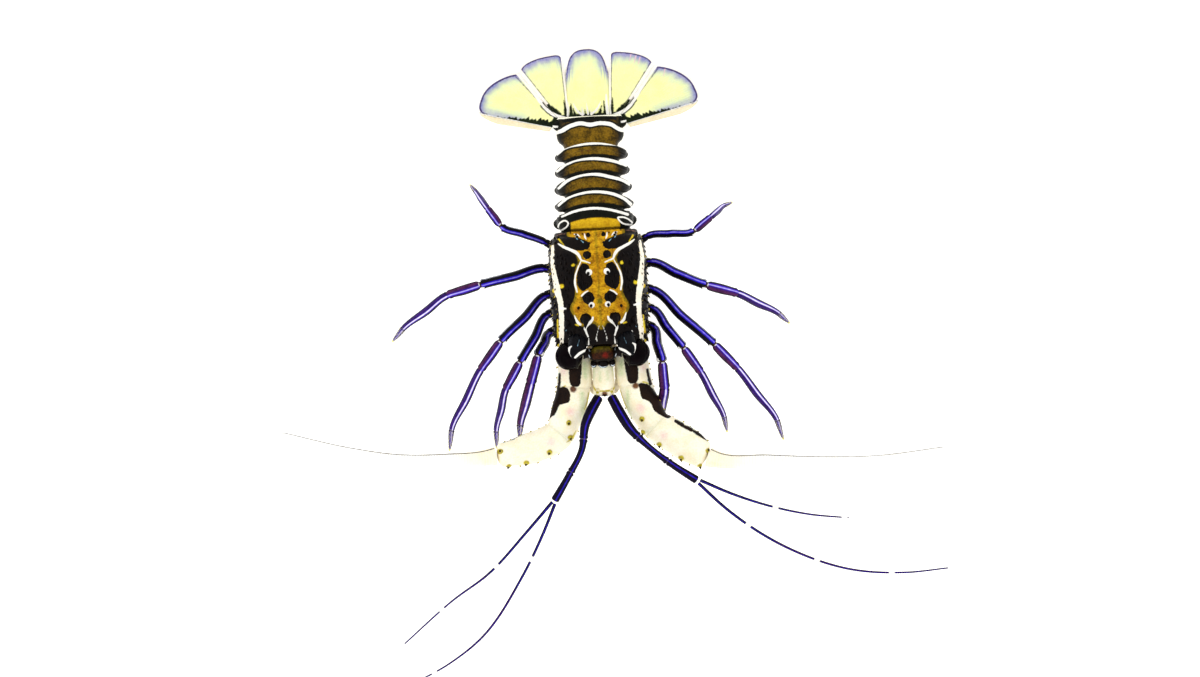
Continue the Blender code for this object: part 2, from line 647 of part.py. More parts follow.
def build_legs():
    for (word, number), pose in LEG_POSE.items():
        girth = LEG_GIRTH[number]
        knee, wrist, ankle, foot = pose
        high = KNEE_Z[number]
        hip = (HIP_X + GAP, HIP_Y[number], HIP_Z, girth, girth)
        shoulder = (SHOULDER_X, SHOULDER_Y[number], HIP_Z + SHOULDER_RISE, girth * SHOULDER_GIRTH, girth)
        half = tuple((np.array(shoulder[:2]) + knee) / 2)
        thigh = half + ((HIP_Z + high) * THIGH_HIGH, girth, girth * THIGH_TALL)
        top = knee + (high, girth * SHOULDER_GIRTH, girth * KNEE_TALL)
        upper = (hip, shoulder, thigh, top)
        half = tuple((np.array(knee) + wrist) / 2)
        shin = tuple((np.array(wrist) + ankle) / 2)
        end = ankle + (high * ANKLE_HIGH, girth * ANKLE_GIRTH, girth * ANKLE_GIRTH)
        lower = (top, half + (high * (1 + WRIST_HIGH) / 2 + LOWER_ARCH, girth, girth),
                 wrist + (high * WRIST_HIGH, girth * WRIST_GIRTH, girth * WRIST_GIRTH),
                 shin + (high * SHIN_HIGH, girth * SHIN_GIRTH, girth * SHIN_GIRTH), end)
        half = tuple(np.array(ankle) * (1 - CLAW_SHARE) + np.array(foot) * CLAW_SHARE)
        claw = (end, half + (high * CLAW_HIGH, girth * CLAW_GIRTH, girth * CLAW_GIRTH),
                foot + (0.0, FOOT_FLAT, FOOT_FLAT))
        side = SIDES[word]
        names = ["leg_%d_%s_%s" % (number, word, piece) for piece in ("upper", "lower", "dactyl")]
        lengths = [(rows(upper, side), 8), (rows(lower, side), 10), (rows(claw, side), 5)]
        for node, kind, root in limb(names, lengths, ("leg", "lower_leg", "claw"), 8,
                                     np.array((side, 0.0, 0.0)), np.array((0.0, 0.0, -1.0))):
            finish(node, kind, root)


def build_sternum():
    """Breastplate that widens to the rear, with the first joint of every leg fused to it."""
    node = tube("sternum", STERNUM, 9, 12, (0, 1, 0), (0, 1, 0))
    pieces = []
    for number, y in HIP_Y.items():
        for side in SIDES.values():
            girth = LEG_GIRTH[number] + COXA_SWELL
            coxa = [(side * x, y, z, girth, girth) for x, z in COXA_ROOT]
            coxa.append((side * HIP_X, y, HIP_Z, girth * COXA_END, girth * COXA_END))
            pieces.append(tube("coxa", coxa, 4, 8, (side, 0, 0), (side, 0, 0)))
    fuse(node, pieces)
    finish(node, "underside", STERNUM[0][:3])


def bow(y):
    """How far forward the flanks of the rings are drawn at Y."""
    at, forward = np.transpose(FLANK_BOW)
    return np.interp(y, at, forward)


def flanked(ring, pinch):
    """A ring's section with its flanks pinched in and drawn forward, more the further out they lie."""
    out = np.abs(ring[:, 0]) / np.abs(ring[:, 0]).max()
    ring[:, 0] *= 1 - pinch * out ** 3
    ring[:, 1] -= bow(ring[:, 1]) * (ring[:, 0] / FLANK_X) ** 2
    return ring


def pleuron(side, y_start, y_end):
    """Side point of an abdomen segment, reaching down and back."""
    length = y_end - y_start
    y, half, _, wide, edge = between(ABDOMEN, y_start + length * PLEURON_AT)
    y -= bow(y) * PLEURON_BOW
    x = [side * (half - inwards) for inwards in PLEURON_IN]
    high = np.array((wide, (wide + edge) / 2, edge)) - PLEURON_DOWN
    root = (x[0], y, high[0], length * PLEURON_SHARES[0], 1.3)
    middle = (x[1], y + 0.2, high[1], length * PLEURON_SHARES[1], 1.1)
    tip = (x[2], y + length * PLEURON_LEAN, high[2], 0.35, 0.3)
    return tube("pleuron", (root, middle, tip), 4, 6)


def swimmeret(side, y_start, y_end):
    """Leaf under an abdomen segment, hanging down and back."""
    y, half, _, _, edge = between(ABDOMEN, (y_start + y_end) / 2)
    x, high = half * LEAF_OUT, edge + ABDOMEN_FLOOR_RISE
    y -= bow(y) * (x / FLANK_X) ** 2
    leaf = [(side * (x + out), y + back, high + up, wide, thick) for out, back, up, wide, thick in SWIMMERET]
    return tube("swimmeret", leaf, 4, 6)


def build_abdomen():
    for k in range(6):
        start = ABDOMEN_JOINTS[k] + (RING_GAP if k else 0.0)
        end = ABDOMEN_JOINTS[k + 1]
        rings = []
        for part, scale, pinch in SEGMENT_STEPS:
            row = between(ABDOMEN, start + (end - start) * part)
            row[1] *= scale
            row[2] -= (1 - scale) * ABDOMEN_MIDDLE
            pinch *= JOINT_PINCH[k if part < RING_MIDDLE else k + 1]
            rings.append(flanked(body_ring(row, row[4] + ABDOMEN_FLOOR_RISE, 13), pinch))
        points, faces = skin(rings)
        for cap, ring in ((-2, rings[0]), (-1, rings[-1])):
            points[cap] = (0.0, ring[:, 1].max(), points[cap][2])
        node = solid("abdomen_%d" % (k + 1), points, faces)
        pieces = []
        for side in SIDES.values():
            if k < 5:
                pieces.append(pleuron(side, start, end))
            if 0 < k < 5:
                pieces.append(swimmeret(side, start, end))
            if k == 5:
                pieces.append(uropod_base(side))
        fuse(node, pieces)
        finish(node, "abdomen", (0, start, 15))


def uropod_base(side):
    """Block at the side of the last segment that carries both plates of a uropod."""
    rings = [np.array([(side * x, y, z) for x, y in UROPOD_BASE]) for z in UROPOD_BASE_Z]
    return solid("uropod_base", *skin(rings))


def plate_mid(corners, bulge, heights, power, skew, across, along):
    """Middle surface of a tail plate: lines from base to end corners, with a rounded, skewed end."""
    base_in, base_out, end_in, end_out = [np.array(corner, dtype=float) for corner in corners]
    inner = base_in + (end_in - base_in) * along
    outer = base_out + (end_out - base_out) * along
    chord = end_out - end_in
    out = np.array((-chord[1], chord[0])) / np.linalg.norm(chord)
    if out.dot(end_in - base_in) < 0:
        out = -out
    round_end = max(0.0, 1 - abs(2 * across ** skew - 1) ** power) ** (1 / power)
    x, y = inner + (outer - inner) * across + out * bulge * round_end * along ** PLATE_SWELL
    sag = PLATE_CAMBER * (2 * across - 1) ** 2 * along
    rib = RIB_HEIGHT * math.cos(math.pi * PLATE_COLUMNS * across) * min(1.0, along * 2)
    return np.array((x, y, heights[0] + (heights[1] - heights[0]) * along - sag + rib))


def build_tail_plate(name, side, form):
    corners, bulge, heights, power, skew = form[:4], form[4], form[5], form[6], form[7]
    points = []
    for face in (1, -1):
        for j in range(PLATE_ROWS + 1):
            for i in range(PLATE_COLUMNS + 1):
                across = 0.5 - 0.5 * math.cos(math.pi * i / PLATE_COLUMNS)
                across = 0.5 * across + 0.5 * i / PLATE_COLUMNS
                along = j / PLATE_ROWS
                x, y, z = plate_mid(corners, bulge, heights, power, skew, across, along)
                thick = PLATE_THICK[0] + (PLATE_THICK[1] - PLATE_THICK[0]) * along
                points.append((side * x, y, z + face * thick / 2))
    wide = PLATE_COLUMNS + 1
    under = wide * (PLATE_ROWS + 1)
    faces = []
    for j in range(PLATE_ROWS):
        for i in range(PLATE_COLUMNS):
            a = j * wide + i
            b, c, d = a + 1, a + wide + 1, a + wide
            faces += [(a, b, c), (a, c, d)]
            faces += [(a + under, c + under, b + under), (a + under, d + under, c + under)]
    rim = [i for i in range(wide)]
    rim += [j * wide + wide - 1 for j in range(1, PLATE_ROWS + 1)]
    rim += [PLATE_ROWS * wide + i for i in range(wide - 2, -1, -1)]
    rim += [j * wide for j in range(PLATE_ROWS - 1, 0, -1)]
    for k, a in enumerate(rim):
        b = rim[(k + 1) % len(rim)]
        faces += [(a, a + under, b + under), (a, b + under, b)]
    node = solid(name, points, faces)
    root = (side * (form[0][0] + form[1][0]) / 2, form[0][1], heights[0])
    finish(node, "fan", root)


def build_tail_fan():
    build_tail_plate("telson", 1, TAIL_PLATES["telson"])
    for word, side in SIDES.items():
        for piece in ("uropod_inner", "uropod_outer"):
            build_tail_plate("%s_%s" % (piece, word), side, TAIL_PLATES[piece])


def hang_all():
    """Parents every node to one empty, which moves the animal over the origin."""
    carrier = bpy.data.objects.new("lobster", None)
    carrier.location = (ORIGIN[0] * MM, ORIGIN[1] * MM, 0.0)
    nodes = [thing for thing in bpy.data.objects if thing.type == "MESH"]
    bpy.context.collection.objects.link(carrier)
    for node in nodes:
        node.parent = carrier


def main():
    clear_scene()
    build_carapace()
    build_sternum()
    build_head()
    build_eyes()
    build_antennae()
    build_antennules()
    build_legs()
    build_abdomen()
    build_tail_fan()
    hang_all()


main()
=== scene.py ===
"""Looks of the spiny lobster: fine shells, spines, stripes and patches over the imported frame.

Lengths are millimetres in the animal's own frame, as in the part's source: X = 0 is its
midline, Y = 0 the front edge of its carapace, Z = 0 the floor, the tail lies along +Y and
its left side is +X. Limbs are worked out with X outwards and then put on their side.
"""
import math

import bpy
import numpy as np
from mathutils import Matrix


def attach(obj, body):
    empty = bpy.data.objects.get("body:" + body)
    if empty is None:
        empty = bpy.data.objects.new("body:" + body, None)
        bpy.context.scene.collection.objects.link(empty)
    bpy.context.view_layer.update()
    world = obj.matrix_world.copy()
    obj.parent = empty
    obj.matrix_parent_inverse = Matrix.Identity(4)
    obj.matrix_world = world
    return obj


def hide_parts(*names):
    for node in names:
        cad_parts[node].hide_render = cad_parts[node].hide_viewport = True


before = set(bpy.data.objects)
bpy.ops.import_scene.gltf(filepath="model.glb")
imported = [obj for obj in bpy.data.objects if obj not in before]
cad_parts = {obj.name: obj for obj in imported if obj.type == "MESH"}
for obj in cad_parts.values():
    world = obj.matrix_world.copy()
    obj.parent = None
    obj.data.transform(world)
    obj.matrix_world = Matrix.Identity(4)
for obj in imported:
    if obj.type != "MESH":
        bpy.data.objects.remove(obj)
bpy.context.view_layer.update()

MM = 0.001
ORIGIN = np.array((-2.45, 6.35, 0.0))
SIDES = {"left": 1, "right": -1}
FAR = 9.0
JOINT_GAP = 0.3
TURN = 2 * math.pi
DRAW = np.random.default_rng(7)
COATS = {}
SPECKLE_MM = 0.65

# Trunk tables: Y, half width, top, height of the widest point, lower edge
CARAPACE = np.array((
    (0.0, 17.9, 33.2, 22.0, 13.8), (3.0, 18.4, 34.6, 22.0, 13.4), (9.0, 19.0, 36.6, 22.0, 13.0),
    (18.0, 19.4, 38.0, 22.0, 12.8), (27.0, 19.5, 38.2, 22.0, 12.8), (35.0, 19.2, 37.3, 22.0, 12.8),
    (41.0, 18.4, 35.2, 21.5, 13.4), (44.2, 17.0, 33.2, 21.0, 14.6), (46.0, 15.6, 31.6, 20.5, 16.5)))
CARAPACE_UNDER = 15.5
ABDOMEN = np.array((
    (46.3, 15.2, 30.8, 20.0, 14.6), (52.0, 15.4, 31.4, 19.5, 13.8), (59.0, 15.3, 30.2, 18.5, 12.6),
    (66.0, 14.9, 28.0, 16.8, 11.2), (73.0, 14.5, 25.0, 14.8, 9.8), (80.0, 14.2, 21.4, 12.6, 8.2),
    (87.0, 13.8, 17.6, 10.4, 6.6), (92.0, 12.0, 14.6, 9.0, 5.6)))
ABDOMEN_JOINTS = (46.3, 55.6, 61.8, 68.9, 75.3, 81.3, 92.0)
RING_GAP = 0.4
ABDOMEN_FLOOR_RISE = 0.9
# Pinch of the flanks at each joint, and how far forward they are drawn, in mm at FLANK_X, at each Y
JOINT_PINCH = (0.04, 0.18, 0.2, 0.2, 0.2, 0.2, 0.03)
FLANK_BOW = np.array(((46.3, 0.0), (52.0, 2.6), (58.0, 4.2), (80.0, 4.0), (88.0, 3.0), (92.0, 0.6)))
FLANK_X = 15.0
BACK_POWER = 2.3
LOW_TURN = math.radians(38)

EYE_CENTRE = np.array((13.4, -3.8, 28.5))
EYE_RADIUS = 5.5
EYESTALK = ((0.0, -3.4, 28.6, 3.0, 2.3), (3.4, -3.4, 28.4, 2.9, 2.1), (4.9, -3.0, 28.2, 2.0, 1.8),
            (7.6, -2.9, 28.3, 2.3, 2.2))
HORN = ((9.2, 5.0, 30.0, 3.8, 3.0), (9.6, 1.4, 33.6, 3.7, 2.7), (10.2, -1.2, 35.8, 3.5, 2.2),
        (11.2, -3.2, 37.6, 2.4, 1.4), (12.1, -4.6, 38.7, 0.3, 0.3))

# Legs: hip and shoulder places, girths, then the plan places of knee, wrist, ankle and foot
HIP_Y = {1: 8.0, 2: 15.0, 3: 22.4, 4: 30.4, 5: 38.6}
HIP_X = 14.4
HIP_Z = 9.4
SHOULDER_X = 20.6
SHOULDER_Y = {1: 6.0, 2: 13.6, 3: 21.4, 4: 32.0, 5: 42.6}
KNEE_Z = {1: 25.0, 2: 27.0, 3: 28.0, 4: 26.0, 5: 22.0}
LEG_GIRTH = {1: 2.05, 2: 1.9, 3: 1.95, 4: 2.0, 5: 1.6}
LEG_POSE = {
    ("right", 1): ((25.6, -2.6), (29.2, -13.4), (34.6, -30.0), (35.6, -37.5)),
    ("right", 2): ((32.9, -4.8), (39.2, -15.2), (44.4, -32.0), (44.8, -39.4)),
    ("right", 3): ((40.1, 3.8), (48.8, -7.0), (62.3, -30.6), (63.9, -39.4)),
    ("right", 4): ((47.0, 26.7), (60.3, 23.4), (79.4, 11.2), (84.6, 5.9)),
    ("right", 5): ((37.7, 49.8), (42.6, 57.0), (47.4, 64.6), (49.7, 67.7)),
    ("left", 1): ((23.6, -7.9), (24.0, -18.4), (22.2, -29.0), (20.2, -35.4)),
    ("left", 2): ((32.3, -2.8), (38.7, -12.9), (47.4, -31.4), (48.6, -38.0)),
    ("left", 3): ((44.6, -2.1), (53.3, -12.0), (68.6, -34.0), (71.1, -42.4)),
    ("left", 4): ((42.9, 21.6), (55.0, 17.7), (71.6, 8.8), (76.2, 4.5)),
    ("left", 5): ((39.3, 43.5), (46.2, 48.6), (52.4, 53.4), (55.9, 54.7)),
}

# Antennae: base, stalk, flagellum
ANTENNA = {
    "right": (
        ((11.0, -0.4, 17.4, 6.2, 4.9), (11.7, -8.0, 17.4, 6.6, 5.1), (12.2, -15.5, 17.5, 6.8, 5.3),
         (14.0, -23.0, 17.5, 6.8, 5.2), (16.4, -29.2, 17.5, 6.5, 5.0), (18.8, -34.4, 17.6, 6.0, 4.7)),
        ((18.8, -34.4, 17.6, 6.0, 4.7), (26.0, -38.2, 17.8, 6.4, 4.8), (35.0, -40.6, 18.6, 5.9, 4.6),
         (44.6, -42.0, 19.7, 4.5, 3.9)),
        ((44.6, -42.0, 19.7, 3.9, 3.5), (48.5, -42.4, 20.3, 3.4, 3.2), (64.4, -42.2, 23.0, 2.6, 2.5),
         (83.6, -40.6, 27.0, 1.9, 1.8), (102.4, -36.3, 31.0, 1.3, 1.2), (128.4, -27.9, 36.0, 0.45, 0.45))),
    "left": (
        ((11.0, -0.4, 17.4, 6.2, 4.9), (11.7, -8.0, 17.4, 6.6, 5.1), (12.4, -15.5, 17.5, 6.8, 5.3),
         (14.2, -22.6, 17.5, 6.8, 5.2), (16.8, -28.2, 17.5, 6.6, 5.0), (19.8, -33.2, 17.6, 6.2, 4.7)),
        ((19.8, -33.2, 17.6, 6.2, 4.7), (26.4, -37.8, 17.8, 6.8, 4.8), (33.4, -42.8, 18.6, 6.6, 4.7),
         (39.6, -47.0, 19.6, 5.4, 4.3)),
        ((39.6, -47.0, 19.6, 4.1, 3.6), (43.0, -48.2, 20.2, 3.5, 3.3), (64.1, -49.7, 24.0, 2.6, 2.5),
         (84.1, -50.8, 28.0, 1.9, 1.8), (106.9, -50.9, 32.0, 1.2, 1.1), (133.2, -48.2, 36.0, 0.45, 0.45))),
}
ANTENNULE_STALK = {
    "right": ((2.6, -20.9, 18.6, 2.0, 1.8), (5.8, -26.0, 23.2, 2.1, 1.6), (8.3, -31.0, 25.8, 1.9, 1.5),
              (10.4, -41.3, 26.8, 1.35, 1.3), (16.2, -51.4, 27.8, 1.4, 1.2), (22.4, -61.0, 28.8, 1.7, 1.0)),
    "left": ((2.6, -20.9, 18.6, 2.0, 1.8), (5.8, -27.6, 23.4, 2.1, 1.6), (9.6, -34.2, 25.8, 1.9, 1.5),
             (14.8, -40.0, 26.8, 1.35, 1.3), (25.4, -49.2, 27.8, 1.4, 1.2), (34.9, -56.0, 28.8, 1.7, 1.0)),
}
ANTENNULE_FLAGELLA = {
    ("right", "outer"): ((23.2, -61.2, 29.0), (33.7, -72.2, 30.6), (50.6, -88.7, 31.4),
                         (64.4, -97.8, 30.0), (85.3, -114.6, 26.0)),
    ("right", "inner"): ((22.2, -62.0, 28.9), (27.1, -72.6, 30.0), (37.1, -90.7, 29.0),
                         (55.3, -114.7, 25.0), (67.8, -123.6, 22.0), (86.3, -132.6, 18.0)),
    ("left", "outer"): ((36.0, -55.9, 29.0), (48.0, -61.8, 30.6), (61.8, -67.2, 31.4),
                        (78.1, -71.7, 31.0), (94.4, -74.2, 29.0)),
    ("left", "inner"): ((35.2, -57.0, 28.9), (45.9, -67.9, 30.0), (69.4, -84.8, 29.0),
                        (94.0, -94.8, 26.0), (116.7, -97.5, 22.0), (133.4, -96.8, 19.0)),
}
FLAGELLUM_THICK = (0.72, 0.32)
# From ring to ring of the antennae's whips and of the antennules, in mm
WHIP_RING = 1.1
FEELER_RING = 0.8

# Tail fan: base corners, end corners, bulge of the end, heights, power and skew of its curve
TAIL_PLATES = {
    "telson": ((-8.1, 92.3), (8.1, 92.3), (-8.8, 107.8), (8.8, 107.8), 12.4, (9.6, 3.4), 2.6, 1.0),
    "uropod_inner": ((8.0, 92.3), (12.7, 92.3), (8.8, 113.3), (27.2, 110.9), 5.7, (8.9, 2.9), 2.6, 0.58),
    "uropod_outer": ((12.6, 92.2), (16.3, 86.9), (27.3, 111.9), (35.4, 90.7), 12.2, (8.3, 2.4), 2.8, 2.0),
}
PLATE_THICK = (1.5, 0.6)
PLATE_CAMBER = 1.0


# Paths and surfaces

def curve(at, table, want):
    """Cubic through the rows of a table placed at `at`, read at `want`; each row's slope is its
    neighbours' mean."""
    at = np.asarray(at, float)
    table = np.asarray(table, float)
    slope = np.gradient(table, at, axis=0)
    k = np.clip(np.searchsorted(at, want, side="right") - 1, 0, len(at) - 2)
    span = (at[k + 1] - at[k])[:, None]
    t = (want - at[k])[:, None] / span
    start = (2 * t ** 3 - 3 * t ** 2 + 1) * table[k] + (t ** 3 - 2 * t ** 2 + t) * span * slope[k]
    return start + (3 * t ** 2 - 2 * t ** 3) * table[k + 1] + (t ** 3 - t ** 2) * span * slope[k + 1]


def lengths(points):
    """Distance from a path's start to each of its points."""
    return np.concatenate(([0.0], np.cumsum(np.linalg.norm(np.diff(points[:, :3], axis=0), axis=1))))


def unit(vectors):
    return vectors / np.maximum(np.linalg.norm(vectors, axis=-1, keepdims=True), 1e-9)


def frames(path):
    """Unit vectors along, across and up at each point of a path. Across is level."""
    way = unit(np.gradient(path, axis=0))
    across = unit(np.cross(way, (0.0, 0.0, 1.0)))
    return way, across, np.cross(across, way)


def route(stations, spacing, blunt=(0.0, 0.0), before=None, after=None):
    """Rows along the smooth curve through the stations.

    Within `blunt` mm of an end the girth falls off as a quarter circle. `before` and `after` are the
    stations of
    the lengths that join on, so that both lengths of a joint end in one plane, 0.3 mm apart.
    """
    table = np.asarray(stations, float)
    ends = [0, len(table) - 1]
    if before is not None:
        table = np.vstack((np.append(before[:3], table[0, 3:]), table))
        ends = [1, ends[1] + 1]
    if after is not None:
        table = np.vstack((table, np.append(after[:3], table[-1, 3:])))
    at = lengths(table)
    start = at[ends[0]] + (JOINT_GAP / 2 if before is not None else 0.0)
    end = at[ends[1]] - (JOINT_GAP / 2 if after is not None else 0.0)
    turn = np.linspace(0.12, math.pi / 2, 9)[:-1]
    want = [np.linspace(start + blunt[0], end - blunt[1], max(3, int((end - start - sum(blunt)) / spacing)))]
    if blunt[0]:
        want.insert(0, start + blunt[0] * (1 - np.cos(turn)))
    if blunt[1]:
        want.append(end - blunt[1] * (1 - np.cos(turn))[::-1])
    want = np.concatenate(want)
    made = curve(at, table, want)
    for edge, size in ((want - start, blunt[0]), (end - want, blunt[1])):
        if size:
            made[:, 3:5] *= np.sqrt(1 - np.clip(1 - edge / size, 0, 1) ** 2)[:, None]
    return made


def grid(points, marks=None, ring=True, caps=True):
    """Quads over rows of points. ring joins each row's end to its start; caps close both end rows with a
    fan."""
    rows, across = points.shape[:2]
    index = np.arange(rows * across).reshape(rows, across)
    if ring:
        index = np.hstack((index, index[:, :1]))
    quads = np.stack((index[:-1, :-1], index[:-1, 1:], index[1:, 1:], index[1:, :-1]), axis=-1)
    made = {"points": points.reshape(-1, 3), "quads": quads.reshape(-1, 4), "tris": np.zeros((0, 3), int)}
    marks = {name: np.broadcast_to(value, (rows, across)) for name, value in (marks or {}).items()}
    made["marks"] = {name: value.reshape(-1) for name, value in marks.items()}
    if caps:
        first, last = rows * across, rows * across + 1
        ends = np.stack((points[0].mean(axis=0), points[-1].mean(axis=0)))
        made["points"] = np.vstack((made["points"], ends))
        start = np.stack((np.full(across, first), index[0, 1:], index[0, :-1]), axis=-1)
        end = np.stack((np.full(across, last), index[-1, :-1], index[-1, 1:]), axis=-1)
        made["tris"] = np.vstack((start, end))
        for name, value in marks.items():
            made["marks"][name] = np.append(made["marks"][name], (value[0].mean(), value[-1].mean()))
    return made


def tube_points(table, around, swell=0.0):
    """Rings round a path: across × half width × cos + up × half height × sin, each swollen by `swell` mm."""
    way, across, up = frames(table[:, :3])
    turn = np.linspace(0, TURN, around, endpoint=False)
    wide = table[:, 3:4] + swell
    tall = table[:, 4:5] + swell
    out = (across[:, None] * (wide * np.cos(turn))[:, :, None]
           + up[:, None] * (tall * np.sin(turn))[:, :, None])
    return table[:, None, :3] + out


def tube(table, around, swell=0.0, **more):
    """Closed tube with marks: mm along it, mm left to its end, and degrees round it, 0 in front and 90 on
    top."""
    at = lengths(table)
    turn = np.degrees(np.linspace(0, TURN, around, endpoint=False))
    marks = {"along": at[:, None], "left": (at[-1] - at)[:, None], "turn": turn[None]}
    marks.update(more)
    return grid(tube_points(table, around, swell), marks)


def ball(centre, radii, rows=24, around=40, power=1.0, **more):
    """Ellipsoid: rings of radius sin(angle) from pole to pole along Z. A power under 1 squares it off."""
    angle = np.linspace(0.04, math.pi - 0.04, rows)
    turn = np.linspace(0, TURN, around, endpoint=False)
    points = np.stack((np.sin(angle)[:, None] * np.cos(turn), np.sin(angle)[:, None] * np.sin(turn),
                       np.broadcast_to(-np.cos(angle)[:, None], (rows, around))), axis=-1)
    points = np.sign(points) * np.abs(points) ** power
    return grid(np.asarray(centre) + points * np.asarray(radii), more)


def cones(roots, ways, sizes, girths, bend=(0.0, 0.0, 0.0), rows=5, sides=7, **more):
    """Spines: rings shrink as (1 - t) to the power 0.8 along the way, and the axis bends over by t
    squared."""
    roots, ways = np.asarray(roots, float), unit(np.asarray(ways, float))
    sizes, girths = np.asarray(sizes, float), np.asarray(girths, float)
    count = len(roots)
    side = unit(np.cross(ways, np.where(np.abs(ways[:, 2:]) > 0.9, (1.0, 0, 0), (0, 0, 1.0))))
    other = np.cross(ways, side)
    t = np.linspace(-0.12, 1, rows, endpoint=False)
    thick = np.clip(1 - t, 0, 1.12) ** 0.8
    turn = np.linspace(0, TURN, sides, endpoint=False)
    lean = np.asarray(bend) * sizes[:, None]
    centre = (roots[:, None] + ways[:, None] * (sizes[:, None] * t)[:, :, None]
              + lean[:, None] * (np.maximum(t, 0) ** 2)[None, :, None])
    ring = side[:, None] * np.cos(turn)[None, :, None] + other[:, None] * np.sin(turn)[None, :, None]
    points = centre[:, :, None] + ring[:, None] * (girths[:, None] * thick)[:, :, None, None]
    tips = roots + ways * sizes[:, None] + lean
    whole = np.concatenate((points.reshape(count, -1, 3), centre[:, :1], tips[:, None]), axis=1)
    index = np.arange(rows * sides).reshape(rows, sides)
    wrap = np.hstack((index, index[:, :1]))
    quads = np.stack((wrap[:-1, :-1], wrap[:-1, 1:], wrap[1:, 1:], wrap[1:, :-1]), axis=-1).reshape(-1, 4)
    tris = np.vstack((
        np.stack((np.full(sides, rows * sides), wrap[0, 1:], wrap[0, :-1]), axis=-1),
        np.stack((np.full(sides, rows * sides + 1), wrap[-1, :-1], wrap[-1, 1:]), axis=-1)))
    step = (np.arange(count) * (rows * sides + 2))[:, None, None]
    height = np.append(np.repeat(np.maximum(t, 0), sides), (0.0, 1.0))
    marks = {"tip": np.tile(height, count)}
    for name, value in more.items():
        marks[name] = np.repeat(np.broadcast_to(value, count), rows * sides + 2)
    return {"points": whole.reshape(-1, 3), "quads": (quads + step).reshape(-1, 4),
            "tris": (tris + step).reshape(-1, 3), "marks": marks}


def turned_out(part, side):
    """Puts a closed part on its side of the animal and turns its faces outwards, by the sign of its
    volume."""
    points = part["points"] * (side, 1, 1)
    quads, tris = part["quads"], part["tris"]
    every = np.vstack((tris, quads[:, :3], quads[:, [0, 2, 3]]))
    a, b, c = points[every[:, 0]], points[every[:, 1]], points[every[:, 2]]
    if np.einsum("ij,ij->i", a, np.cross(b, c)).sum() < 0:
        quads, tris = quads[:, ::-1], tris[:, ::-1]
    return {"points": points, "quads": quads, "tris": tris, "marks": part["marks"]}


def piece(name, parts, stuff, nodes, side=1):
    """One object of closed parts, in place, with its marks as point attributes, parented to the
    root body's empty."""
    parts = [turned_out(part, side) for part in parts]
    count = [len(part["points"]) for part in parts]
    start = np.concatenate(([0], np.cumsum(count)[:-1]))
    points = (np.vstack([part["points"] for part in parts]) + ORIGIN) * MM
    quads = np.vstack([part["quads"] + shift for part, shift in zip(parts, start)])
    tris = np.vstack([part["tris"] + shift for part, shift in zip(parts, start)])
    mesh = bpy.data.meshes.new(name)
    mesh.vertices.add(len(points))
    mesh.vertices.foreach_set("co", points.astype(np.float32).ravel())
    mesh.loops.add(quads.size + tris.size)
    mesh.loops.foreach_set("vertex_index", np.concatenate((quads.ravel(), tris.ravel())).astype(np.int32))
    mesh.polygons.add(len(quads) + len(tris))
    starts = np.concatenate((np.arange(len(quads)) * 4, quads.size + np.arange(len(tris)) * 3))
    mesh.polygons.foreach_set("loop_start", starts.astype(np.int32))
    mesh.update(calc_edges=True)
    mesh.polygons.foreach_set("use_smooth", np.ones(len(mesh.polygons), bool))
    for mark in COATS[stuff.name]:
        values = np.concatenate([part["marks"].get(mark, np.full(size, FAR))
                                 for part, size in zip(parts, count)])
        mesh.attributes.new(mark, "FLOAT", "POINT").data.foreach_set("value", values.astype(np.float32))
    mesh.materials.append(stuff)
    made = bpy.data.objects.new(name, mesh)
    bpy.context.collection.objects.link(made)
    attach(made, "root")
    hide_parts(*nodes)
    return made


# Distances in the plan, in mm: negative inside a patch

def rounded(corners):
    """Corners cut twice at a quarter and three quarters of each side, which rounds a closed outline."""
    ring = np.asarray(corners, float)
    for _ in range(2):
        after = np.roll(ring, -1, axis=0)
        ring = np.stack((ring * 0.75 + after * 0.25, ring * 0.25 + after * 0.75), axis=1).reshape(-1, 2)
    return ring


def to_patch(x, y, corners):
    """Signed distance to a rounded outline: the nearest side's distance, negative where a ray crosses an
    odd number."""
    ring = rounded(corners)
    nearest = np.full(x.shape, 1e9)
    inside = np.zeros(x.shape, bool)
    for (ax, ay), (bx, by) in zip(ring, np.roll(ring, -1, axis=0)):
        t = np.clip(((x - ax) * (bx - ax) + (y - ay) * (by - ay)) / ((bx - ax) ** 2 + (by - ay) ** 2 + 1e-12), 0, 1)
        nearest = np.minimum(nearest, np.hypot(x - ax - t * (bx - ax), y - ay - t * (by - ay)))
        crosses = ((ay > y) != (by > y)) & (x < (bx - ax) * (y - ay) / (by - ay + 1e-12) + ax)
        inside ^= crosses
    return np.where(inside, -nearest, nearest)


def to_line(x, y, stations, count=40):
    """Distance to a smooth stroke less its half width, which each station gives after X and Y."""
    table = np.asarray(stations, float)
    at = lengths(table[:, :2])
    stroke = curve(at, table, np.linspace(0, at[-1], count)) if len(table) > 2 else table
    nearest = np.full(x.shape, 1e9)
    for (ax, ay, ar), (bx, by, br) in zip(stroke[:-1], stroke[1:]):
        t = np.clip(((x - ax) * (bx - ax) + (y - ay) * (by - ay)) / ((bx - ax) ** 2 + (by - ay) ** 2 + 1e-12), 0, 1)
        away = np.hypot(x - ax - t * (bx - ax), y - ay - t * (by - ay)) - ar - t * (br - ar)
        nearest = np.minimum(nearest, away)
    return nearest


def to_spot(x, y, spot):
    return np.hypot(x - spot[0], y - spot[1]) - spot[2]


def nearest_of(*distances):
    return np.minimum.reduce(distances)


# Materials

